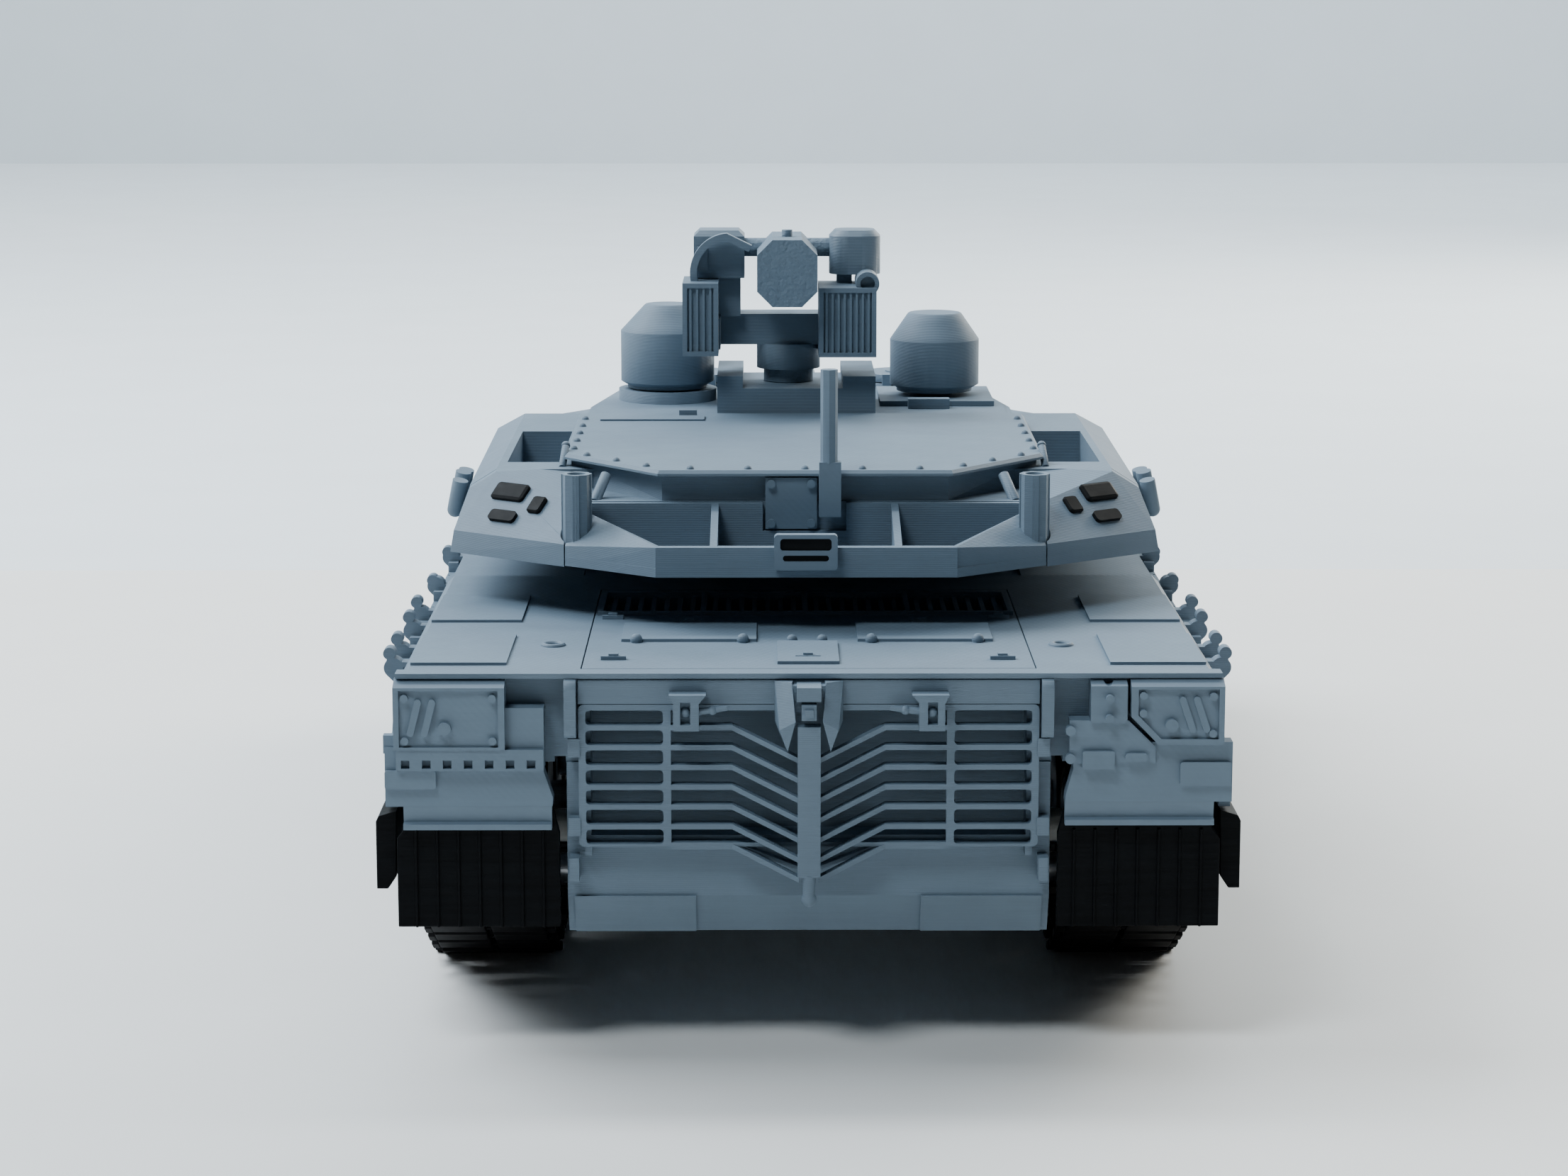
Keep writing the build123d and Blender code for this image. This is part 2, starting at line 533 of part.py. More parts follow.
with BuildPart() as mud_flaps:
    for side in SIDES.values():
        with BuildSketch(Plane.XZ.offset(-(REAR + 0.85))) as flap:
            with BuildLine():
                Polyline((side * 18.1, 18.0), (side * 17.6, 16.0), (side * 17.6, 9.2), (side * 29.1, 9.2),
                         (side * 29.1, 15.6), (side * 28.5, 16.4), (side * 28.5, 18.0), close=True)
            make_face()
        extrude(flap.sketch, amount=0.6)
        for rib in range(7):
            x = 18.75 + rib * 1.5
            block(across(side, x - 0.1, x + 0.1), (0.05, 0.3), (9.2, 16.35))

# ---------------------------------------------------------------- side skirts
SKIRT_JOINTS = [23.0, 38.0, 53.0, 68.0, 83.0, 98.0, 113.0]
skirts = {}
for name, side in SIDES.items():
    with BuildPart() as skirt:
        side_profile(
            [(2.0, 17.5), (125.5, 17.5), (128.5, 20.5), (126.0, 25.4), (9.5, 25.4), (7.0, 22.0), (2.0, 20.8)],
            across(side, 29.15, 30.0),
        )
        # panel joints, stiffening ribs and hinge plates
        for d in SKIRT_JOINTS:
            block(across(side, 29.75, 31.0), (d - 0.15, d + 0.15), (17.0, 26.0), Mode.SUBTRACT)
        for d in LUG_STATIONS[2:]:
            block(across(side, 30.0, 30.25), (d - 1.2, d + 1.2), (22.6, 24.6))
        # hooks over the hull lugs
        for d in LUG_STATIONS[1:]:
            block(across(side, 29.15, 30.0), (d - 1.6, d - 0.8), (25.3, 26.2))
            block(across(side, 29.15, 30.0), (d + 0.8, d + 1.6), (25.3, 26.2))
    skirts[name] = skirt

with BuildPart() as skirt_rubbers:
    for side in SIDES.values():
        section = [(side * 29.2, 17.4), (side * 30.5, 17.0), (side * 30.7, 16.6), (side * 30.7, 11.7),
                   (side * 29.9, 11.7), (side * 29.3, 12.6)]
        ends = [1.2] + SKIRT_JOINTS + [125.0]
        for start, end in zip(ends, ends[1:]):
            rear_profile(section, (start + 0.15, end - 0.15))

# ---------------------------------------------------------------- tracks
def loop_outline(grow):
    """Side outline of the track round the sprocket, the end road wheels and the idler, grown outwards."""
    with BuildSketch() as loop:
        for d, z, r in ((SPROCKET_D, DRIVE_Z, DRUM_R), (WHEEL_STATIONS[0], WHEEL_Z, WHEEL_R),
                        (WHEEL_STATIONS[-1], WHEEL_Z, WHEEL_R), (IDLER_D, DRIVE_Z, DRUM_R)):
            with Locations((REAR + d, z)):
                Circle(r + TRACK_GAP + grow)
        make_hull()
    return loop.sketch


def loop_ring(x, inner, outer, mode=Mode.ADD):
    """A ring between two outlines of the track, between two values of x."""
    with BuildSketch(Plane.YZ.offset(x[0])) as ring:
        add(loop_outline(outer))
        add(loop_outline(inner), mode=Mode.SUBTRACT)
    extrude(ring.sketch, amount=x[1] - x[0], mode=mode)


tracks = {}
for name, side in SIDES.items():
    with BuildPart() as track:
        loop_ring(across(side, TRACK_INNER_X, TRACK_OUTER_X), 0.0, TRACK_T)
        for groove in GROOVES:
            loop_ring(across(side, *groove), -0.1, 0.7, Mode.SUBTRACT)
        loop_ring(across(side, *GUIDE_RIDGE), -GUIDE_H, 0.05)
    tracks[name] = track

# ---------------------------------------------------------------- wheels on their axles
def make_wheel(side, d, z, radius):
    """A twin-disc wheel with a dished outer face, a bolted hub and a running bore."""
    with BuildPart() as wheel:
        cross_rod(side, INNER_DISC, d, z, radius)
        cross_rod(side, OUTER_DISC, d, z, radius)
        cross_rod(side, (OUTER_DISC[1] - 0.7, OUTER_DISC[1] + 1), d, z, radius - 1.0, Mode.SUBTRACT)
        cross_rod(side, (INNER_DISC[0], OUTER_DISC[1] + 0.5), d, z, 2.2)
        for bolt in range(8):
            angle = math.radians(45 * bolt + 22.5)
            bolt_d = d + 3.0 * math.cos(angle)
            bolt_z = z + 3.0 * math.sin(angle)
            cross_rod(side, (OUTER_DISC[1] - 0.8, OUTER_DISC[1] - 0.4), bolt_d, bolt_z, 0.35)
        cross_rod(side, (20, 30), d, z, AXLE_R + RUN, Mode.SUBTRACT)
    return wheel


wheels = {}
for name, side in SIDES.items():
    wheels[f"idler_{name}"] = make_wheel(side, IDLER_D, DRIVE_Z, DRUM_R)
    for number, d in enumerate(WHEEL_STATIONS, start=1):
        wheels[f"road_wheel_{name}_{number}"] = make_wheel(side, d, WHEEL_Z, WHEEL_R)

AXLE_END = OUTER_DISC[1] + 0.6
with BuildPart() as wheel_axles:
    for side in SIDES.values():
        for d, z in [(d, WHEEL_Z) for d in WHEEL_STATIONS] + [(IDLER_D, DRIVE_Z)]:
            cross_rod(side, (TUB_HALF - WALL, AXLE_END), d, z, AXLE_R)
            cross_rod(side, (TUB_HALF, INNER_DISC[0] - 0.1), d, z, 1.2)
            cross_rod(side, (AXLE_END, AXLE_END + 0.6), d, z, 1.1)

# ---------------------------------------------------------------- sprockets and final drives
sprockets = {}
for name, side in SIDES.items():
    with BuildPart() as sprocket:
        cross_rod(side, (TOOTH_RINGS[0][0], INNER_DISC[1]), SPROCKET_D, DRIVE_Z, DRUM_R)
        cross_rod(side, (OUTER_DISC[0], TOOTH_RINGS[1][1]), SPROCKET_D, DRIVE_Z, DRUM_R)
        cross_rod(side, (INNER_DISC[1], OUTER_DISC[0]), SPROCKET_D, DRIVE_Z, DRUM_R - GUIDE_H - 0.3)
        cross_rod(side, (27.4, 29), SPROCKET_D, DRIVE_Z, DRUM_R - 0.9, Mode.SUBTRACT)
        cross_rod(side, (27.0, 28.0), SPROCKET_D, DRIVE_Z, 2.0)
        for ring in TOOTH_RINGS:
            x = across(side, *ring)
            for tooth in range(SPROCKET_TEETH):
                with BuildSketch(Plane.YZ.offset(x[0])) as profile:
                    with Locations(Location((REAR + SPROCKET_D, DRIVE_Z), 360 * tooth / SPROCKET_TEETH)):
                        with Locations((DRUM_R + TOOTH_H / 2 - 0.1, 0)):
                            Trapezoid(1.3, TOOTH_H + 0.2, 65, rotation=-90)
                extrude(profile.sketch, amount=x[1] - x[0])
        cross_rod(side, (19, 30), SPROCKET_D, DRIVE_Z, SHAFT_R, Mode.SUBTRACT)
    sprockets[name] = sprocket

final_gears = {}
for name, side in SIDES.items():
    with BuildPart() as final_gear:
        centre = spot(across(side, *GEAR_X)[0], SPROCKET_D, DRIVE_Z)
        face = Plane(origin=centre, x_dir=(0, 1, 0), z_dir=(1, 0, 0))
        gear(face, FINAL_TEETH, GEAR_MODULE, GEAR_X[1] - GEAR_X[0], 0.4)
        cross_rod(side, (10.4, 27.9), SPROCKET_D, DRIVE_Z, SHAFT_R)
        cross_rod(side, (GEAR_X[1], 15.7), SPROCKET_D, DRIVE_Z, 1.3)
        cross_rod(side, (TUB_HALF + 0.1, TOOTH_RINGS[0][0] - 0.1), SPROCKET_D, DRIVE_Z, 1.2)
    final_gears[name] = final_gear

motor_pinions = {}
for name, side in SIDES.items():
    with BuildPart() as pinion:
        centre = spot(across(side, *GEAR_X)[0], MOTOR_D, DRIVE_Z)
        face = Plane(origin=centre, x_dir=(0, 1, 0), z_dir=(1, 0, 0))
        gear(face, PINION_TEETH, GEAR_MODULE, GEAR_X[1] - GEAR_X[0], 0.4, 180 / PINION_TEETH)
        cross_rod(side, (9.9, GEAR_X[1]), MOTOR_D, DRIVE_Z, 0.5)
    motor_pinions[name] = pinion

with BuildPart() as drive_motors:
    for side in SIDES.values():
        cross_rod(side, (0.3, 9.4), MOTOR_D, DRIVE_Z, MOTOR_R - 0.02)
        cross_rod(side, (9.4, 9.8), MOTOR_D, DRIVE_Z, 1.2)
        cross_rod(side, (9.0, 9.9), MOTOR_D, DRIVE_Z, 0.55, Mode.SUBTRACT)

# ---------------------------------------------------------------- power and control
with BuildPart() as battery:
    block((-8.6, 8.6), (59.0, 82.0), (9.8, 15.6))
    fillet(battery.edges().filter_by(Axis.Y), 0.8)

with BuildPart() as control_board:
    block((-15.6, 15.6), (56.8, 86.2), (18.3, 19.1))
    block((-5.0, 1.0), (62.0, 68.0), (19.1, 20.1))
    block((4.0, 9.0), (64.0, 67.0), (19.1, 19.9))
    block((-11.0, -8.0), (72.0, 79.0), (19.1, 20.8))
    block((3.0, 12.0), (74.0, 80.0), (19.1, 19.8))

with BuildPart() as belly_cover:
    block((-11.3, 11.3), (46.1, 89.9), (BELLY_Z, BELLY_Z + 0.65))
    for side in SIDES.values():
        for d in (47.6, 88.4):
            rod((side * 10.2, d, BELLY_Z - 1), (side * 10.2, d, BELLY_Z + 1), 0.5, Mode.SUBTRACT)
            cone((side * 10.2, d, BELLY_Z), (side * 10.2, d, BELLY_Z + 0.45), 0.95, 0.5, Mode.SUBTRACT)
    for rib in range(5):
        d = 56.0 + rib * 6.0
        block((-6.0, 6.0), (d - 0.4, d + 0.4), (BELLY_Z + 0.65, BELLY_Z + 1.2))

with BuildPart() as screws:
    for side in SIDES.values():
        for d in (47.6, 88.4):
            cone((side * 10.2, d, BELLY_Z), (side * 10.2, d, BELLY_Z + 0.45), 0.9, 0.45)
            rod((side * 10.2, d, BELLY_Z + 0.4), (side * 10.2, d, 11.4), 0.44)
            slot_x = across(side, 9.65, 10.75)
            block(slot_x, (d - 0.1, d + 0.1), (BELLY_Z - 0.1, BELLY_Z + 0.2), Mode.SUBTRACT)

with BuildPart() as power_switch:
    block((-0.9, 0.9), (96.3, 98.5), (BELLY_Z + 0.3, 10.4))
    block((-1.6, 1.6), (95.4, 99.4), (9.8, 10.4))

# ---------------------------------------------------------------- turret drive motor
with BuildPart() as turret_motor:
    rod((0, TURRET_MOTOR_D, 13.05), (0, TURRET_MOTOR_D, 21.6), MOTOR_R)
    rod((0, TURRET_MOTOR_D, 21.6), (0, TURRET_MOTOR_D, 22.0), 1.2)
    rod((0, TURRET_MOTOR_D, 20.8), (0, TURRET_MOTOR_D, 22.5), 0.55, Mode.SUBTRACT)
    rod((0, TURRET_MOTOR_D, 12.2), (0, TURRET_MOTOR_D, 13.1), 0.9)

with BuildPart() as turret_pinion:
    face = Plane(origin=spot(0, TURRET_MOTOR_D, RING_GEAR_Z[0]), x_dir=(0, 1, 0), z_dir=(0, 0, 1))
    gear(face, PINION_TEETH, RING_MODULE, RING_GEAR_Z[1] - RING_GEAR_Z[0], 0.4, 180 / PINION_TEETH)
    rod((0, TURRET_MOTOR_D, 21.0), (0, TURRET_MOTOR_D, RING_GEAR_Z[1]), 0.5)

# ---------------------------------------------------------------- driver's hatch
DRIVER_HATCH_Z = (FRONT_DECK_Z + 0.05, FRONT_DECK_Z + 0.75)
with BuildPart() as driver_hatch:
    with Locations(spot(0, 106.5, sum(DRIVER_HATCH_Z) / 2)):
        Cylinder(3.9, DRIVER_HATCH_Z[1] - DRIVER_HATCH_Z[0])
    block((3.0, 5.4), (105.6, 107.4), DRIVER_HATCH_Z)
    with Locations(spot(5.4, 106.5, sum(DRIVER_HATCH_Z) / 2)):
        Cylinder(0.9, DRIVER_HATCH_Z[1] - DRIVER_HATCH_Z[0])
        Cylinder(0.45, 2, mode=Mode.SUBTRACT)
    for turn in (-30, 0, 30):
        angle = math.radians(90 + turn)
        with Locations(spot(2.7 * math.cos(angle), 106.5 + 2.7 * math.sin(angle), DRIVER_HATCH_Z[1] + 0.15)):
            Box(1.3, 0.6, 0.5)


# ---------------------------------------------------------------- turret
ROOF_OUTLINE = [(-11.3, 25.2), (11.3, 25.2), (18.9, 34.6), (19.1, 60.0), (-19.1, 60.0), (-18.9, 34.6)]
ROOF_RAISE = [(-11.0, 26.4), (11.0, 26.4), (18.4, 35.2), (18.4, SHOULDER_D), (14.6, 91.0),
              (-14.6, 91.0), (-18.4, SHOULDER_D), (-18.4, 35.2)]
HATCH_SPOTS = {"commander_hatch": (9.6, 84.0), "loader_hatch": (-9.6, 84.0)}
HATCH_R = 3.5


def mirrored(corners):
    """The corners and their mirror images across the tank's centre plane."""
    return corners + [(-x, d, z) for x, d, z in corners]


with BuildPart() as turret_shell:
    # bustle and middle, from behind the rear facets to the cheeks
    faceted(mirrored([(27.5, 33.0, BUSTLE_Z), (26.3, 33.0, 36.0), (24.2, 33.0, TURRET_TOP),
                      (27.8, SHOULDER_D, BUSTLE_Z), (26.6, SHOULDER_D, 36.0), (24.2, SHOULDER_D, TURRET_TOP),
                      (28.0, 84.0, BUSTLE_Z), (26.8, 84.0, 34.0), (24.2, 84.0, CHEEK_TOP)]))
    # lower body over the ring
    faceted(mirrored([(21.5, 50.0, TURRET_Z), (27.0, 48.0, BUSTLE_Z),
                      (25.5, 84.0, TURRET_Z), (28.0, 84.0, BUSTLE_Z)]))
    # front cheeks
    faceted(mirrored([(25.5, 84.0, TURRET_Z), (28.0, 84.0, BUSTLE_Z), (26.8, 84.0, 34.0),
                      (24.2, 84.0, CHEEK_TOP), (24.5, 91.0, TURRET_Z + 0.4), (26.4, 91.5, BUSTLE_Z),
                      (24.5, 90.0, 33.8), (12.0, 103.5, TURRET_Z + 0.6), (12.6, 104.0, BUSTLE_Z),
                      (10.5, 99.5, 35.2)]))
    # rear facets beside the rack
    for side in SIDES.values():
        faceted([(side * x, d, z) for x, d, z in (
            (27.5, 28.4, BUSTLE_Z), (27.2, 28.4, 33.2), (26.2, 31.6, 36.0), (24.1, 31.6, TURRET_TOP),
            (18.3, 21.4, BUSTLE_Z), (18.3, 21.5, 33.2), (18.3, 25.4, 35.9), (17.6, 26.0, BUSTLE_Z),
            (17.6, 26.0, 35.6), (17.6, 34.0, BUSTLE_Z), (27.5, 34.0, BUSTLE_Z), (26.3, 34.0, 36.0),
            (24.2, 34.0, TURRET_TOP), (18.4, 34.0, TURRET_TOP))])
    block((-17.7, 17.7), (26.05, 34.0), (BUSTLE_Z, 35.8))
    plan_profile(ROOF_RAISE, (34.4, 37.85))
    # open side bins and the well beside the roof
    for side in SIDES.values():
        block(across(side, 19.4, 23.6), (37.0, 55.5), (34.6, 40), Mode.SUBTRACT)
        rod((side * 16.2, 26.9, 35.6), (side * 15.4, 29.0, 37.4), 0.42)
        rod((side * 19.1, 34.5, 37.2), (side * 18.9, 36.5, 38.7), 0.3)
        ball((side * 18.9, 36.5, 38.7), 0.35)
    # turret ring collar and the hollow above it
    with Locations(spot(0, RING_D, (FRONT_DECK_Z + 0.08 + TURRET_Z + 0.5) / 2)):
        Cylinder(17.5, TURRET_Z + 0.5 - FRONT_DECK_Z - 0.08)
    with Locations(spot(0, RING_D, (RING_GEAR_Z[1] + TURRET_Z + 0.5) / 2)):
        Cylinder(COLLAR_R, TURRET_Z + 0.5 - RING_GEAR_Z[1])
    with Locations(spot(0, RING_D, (RING_GEAR_Z[1] - 1 + 35.8) / 2)):
        Cylinder(COLLAR_BORE, 35.8 - RING_GEAR_Z[1] + 1, mode=Mode.SUBTRACT)
    # hollow bustle and cheeks
    block((-16.0, 16.0), (33.6, 52.0), (33.0, 35.8), Mode.SUBTRACT)
    block((-8.0, 8.0), (50.0, 60.0), (33.0, 35.8), Mode.SUBTRACT)
    # gun slot with its trunnion bores
    block((-6.1, 6.1), (93.6, 110), (28.9, 40), Mode.SUBTRACT)
    block((-6.1, 6.1), (90.5, 95), (28.9, 35.8), Mode.SUBTRACT)
    rod((-8.0, GUN_D, GUN_Z), (8.0, GUN_D, GUN_Z), 0.8 + RUN, Mode.SUBTRACT)
    # hatch openings
    for x, d in HATCH_SPOTS.values():
        with Locations(spot(x, d, 36.0)):
            Cylinder(2.9, 8, mode=Mode.SUBTRACT)

with BuildPart() as turret_roof:
    plan_profile(ROOF_OUTLINE, (37.87, ROOF_Z))
    chamfer(turret_roof.edges().group_by(Axis.Z)[-1], 0.25)
    plan_profile(
        [(-17.8, 60.05), (17.8, 60.05), (17.8, SHOULDER_D), (14.2, 90.0), (-14.2, 90.0), (-17.8, SHOULDER_D)],
        (37.87, 38.05),
    )
    # rivets round the rim
    rim = [(-18.3, 58.0), (-18.3, 35.0), (-11.0, 26.1), (11.0, 26.1), (18.3, 35.0), (18.3, 58.0)]
    for (x0, d0), (x1, d1) in zip(rim, rim[1:]):
        count = max(2, round(math.hypot(x1 - x0, d1 - d0) / 4.3))
        for step in range(count):
            part_way = (step + 0.5) / count
            with Locations(spot(x0 + (x1 - x0) * part_way, d0 + (d1 - d0) * part_way, ROOF_Z)):
                Sphere(0.3)
    # low panel with a handle beside the left sight
    block((-17.0, -8.2), (54.6, 57.2), (ROOF_Z - 0.1, ROOF_Z + 0.15))
    block((-10.4, -8.9), (57.4, 58.2), (ROOF_Z - 0.1, ROOF_Z + 0.55))
    # weapon station base with raised ends
    block((-7.2, 6.4), (60.0, 72.0), (37.95, 40.4))
    block((-7.2, -5.0), (60.0, 72.0), (40.3, 41.45))
    block((3.6, 6.4), (60.0, 72.0), (40.3, 41.45))
    # pads of the two sights
    rod((SIGHTS["sight_left"][0], SIGHT_D, 37.87), (SIGHTS["sight_left"][0], SIGHT_D, 39.05), 4.35)
    block((7.0, 17.0), (66.5, 77.5), (37.95, 38.5))
    block((9.4, 13.0), (64.6, 66.0), (37.95, 38.9))
    for x in (SIGHTS["sight_left"][0], SIGHTS["sight_right"][0]):
        rod((x, SIGHT_D, 37.0), (x, SIGHT_D, 40.0), 1.5 + RUN, Mode.SUBTRACT)
    rod((RWS_X, RWS_D, 38.6), (RWS_X, RWS_D, 43.0), 1.5 + RUN, Mode.SUBTRACT)
    # hatch rims and hinge posts
    for x, d in HATCH_SPOTS.values():
        rod((x, d, 37.87), (x, d, 38.3), HATCH_R + 0.4)
        rod((x, d, 37.0), (x, d, 39.0), 2.9, Mode.SUBTRACT)
        for offset in (-1.6, 1.6):
            block((x + offset - 0.4, x + offset + 0.4), (d - HATCH_R - 1.0, d - HATCH_R - 0.1), (38.0, 39.3))
        rod((x - 3, d - HATCH_R - 0.55, 38.85), (x + 3, d - HATCH_R - 0.55, 38.85), 0.25, Mode.SUBTRACT)

with BuildPart() as turret_ring_gear:
    face = Plane(origin=spot(0, RING_D, RING_GEAR_Z[0]), x_dir=(0, 1, 0), z_dir=(0, 0, 1))
    gear(face, RING_TEETH, RING_MODULE, RING_GEAR_Z[1] - RING_GEAR_Z[0], COLLAR_BORE)

with BuildPart() as bustle_rack:
    # floor, rear lip and back wall with a notch
    plan_profile(
        [(-11.2, 16.0), (11.2, 16.0), (18.2, 21.3), (17.5, 26.0), (-17.5, 26.0), (-18.2, 21.3)],
        (BUSTLE_Z + 0.1, 32.3),
    )
    block((-11.2, 11.2), (16.0, 16.9), (BUSTLE_Z + 0.1, 33.85))
    block((-17.4, 17.4), (25.4, 26.0), (32.0, 35.75))
    block((-3.25, 3.15), (25.0, 26.5), (33.6, 36.0), Mode.SUBTRACT)
    # sloping corner wedges
    for side in SIDES.values():
        faceted([(side * x, d, z) for x, d, z in (
            (11.0, 16.0, BUSTLE_Z + 0.1), (11.0, 16.0, 33.85), (11.0, 16.9, 33.85),
            (11.0, 16.9, BUSTLE_Z + 0.1), (18.2, 21.3, BUSTLE_Z + 0.1), (18.2, 21.4, 33.1),
            (16.4, 24.4, 35.1), (16.4, 24.4, 32.0), (17.5, 25.9, 35.3), (17.5, 25.9, BUSTLE_Z + 0.1))])
        block(across(side, 16.4, 17.5), (23.8, 26.0), (32.0, 35.4))
    # dividers that fall towards the lip
    for x in (-6.9, 6.85):
        side_profile([(16.5, 32.2), (16.5, 33.85), (25.6, 35.75), (25.6, 32.2)], (x - 0.28, x + 0.28))
    # ribbed corner posts with hollow tops
    for side in SIDES.values():
        with BuildSketch(Plane.XY.offset(BUSTLE_Z + 0.4)) as post:
            with Locations((side * 17.35, REAR + 22.6)):
                RegularPolygon(1.16, 8)
                Rectangle(2.28, 0.5)
                Rectangle(0.5, 2.28)
        extrude(post.sketch, amount=38.45 - BUSTLE_Z - 0.4)
        rod((side * 17.35, 22.6, 37.6), (side * 17.35, 22.6, 39.0), 0.72, Mode.SUBTRACT)

# the facets make room for the posts
with BuildPart() as post_room:
    for side in SIDES.values():
        rod((side * 17.35, 22.6, BUSTLE_Z - 1), (side * 17.35, 22.6, 39), 1.25)
turret_shell.part -= post_room.part
turret_shell.part -= bustle_rack.part

WINDOWS = [(-24.1, -21.4, 35.35, 36.75), (-21.1, -20.0, 34.75, 36.1), (-24.3, -22.15, 34.0, 34.85)]
with BuildPart() as sensor_windows:
    for side in SIDES.values():
        # the windows lie on the slanted facet, which rises forward and outwards
        low_in = Vector(*spot(side * 18.3, 21.5, 33.2))
        low_out = Vector(*spot(side * 27.2, 28.4, 33.2))
        high_out = Vector(*spot(side * 24.1, 31.6, TURRET_TOP))
        normal = (low_out - low_in).cross(high_out - low_in).normalized()
        if normal.Y > 0:
            normal = -normal
        for x0, x1, z0, z1 in WINDOWS:
            x = -side * (x0 + x1) / 2
            z = (z0 + z1) / 2
            y = low_in.Y - (normal.X * (x - low_in.X) + normal.Z * (z - low_in.Z)) / normal.Y
            with BuildSketch(Plane(origin=(x, y, z), x_dir=(normal.Y, -normal.X, 0), z_dir=normal)) as window:
                RectangleRounded((x1 - x0) * 1.2, (z1 - z0) * 1.15, 0.3)
            extrude(window.sketch, amount=0.32)
            chamfer(sensor_windows.faces().sort_by(Axis((0, 0, 0), tuple(normal)))[-1].edges(), 0.12)
    # panes of the tail camera
    rounded_rear((-1.95, 1.85), (33.75, 34.65), (15.3, 15.5), 0.25)
    rounded_rear((-1.75, 1.65), (32.95, 33.4), (15.3, 15.5), 0.2)

with BuildPart() as turret_fittings:
    # plate with four bolts behind the rack
    block((-3.05, 0.9), (25.45, 26.0), (33.75, 37.7))
    for x in (-2.6, 0.45):
        for z in (34.2, 37.25):
            rod((x, 25.15, z), (x, 25.6, z), 0.33)
    # tail camera on the lip
    rounded_rear((-2.4, 2.3), (32.3, 34.95), (15.1, 15.98), 0.3)
    rounded_rear((-1.95, 1.85), (33.75, 34.65), (14.5, 15.5), 0.25, Mode.SUBTRACT)
    rounded_rear((-1.75, 1.65), (32.95, 33.4), (14.5, 15.5), 0.2, Mode.SUBTRACT)
    # sensor mast
    block((1.05, 2.72), (23.9, 25.1), (34.9, 39.1))
    with BuildSketch(Plane.XY.offset(39.0)) as mast:
        with Locations((1.8, REAR + 24.5)):
            RegularPolygon(0.66, 8)
    extrude(mast.sketch, amount=7.15)
    # smoke launcher tubes on both sides
    for side in SIDES.values():
        for d, lift in ((35.0, 0.0), (38.0, 0.25), (41.0, 0.0)):
            rod((side * 27.65, d, 33.8 + lift), (side * 27.15, d - 0.4, 36.2 + lift), 0.62)
            ball((side * 27.65, d, 33.8 + lift), 0.62)

# ---------------------------------------------------------------- sights on the roof
sights = {}
for name, (x, radius, base_z, top_z, top_r) in SIGHTS.items():
    shoulder_z = top_z - 2.35
    with BuildPart() as sight:
        with BuildSketch(Plane.XZ.offset(-(REAR + SIGHT_D))) as half:
            with BuildLine():
                Polyline((x, base_z - 1.0), (x + 1.5, base_z - 1.0), (x + 1.5, base_z - 0.04),
                         (x + radius - 0.6, base_z - 0.04), (x + radius - 0.6, base_z + 0.2),
                         (x + radius, base_z + 0.55), (x + radius, shoulder_z),
                         (x + top_r + 0.15, top_z - 0.1), (x + top_r, top_z), (x, top_z), close=True)
            make_face()
        revolve(half.sketch, axis=Axis(spot(x, SIGHT_D, 0), (0, 0, 1)))
        window_d = (SIGHT_D + radius - 1.0, SIGHT_D + radius + 1)
        block((x - 2.0, x + 2.0), window_d, (base_z + 1.4, shoulder_z - 0.5), Mode.SUBTRACT)
    sights[name] = sight

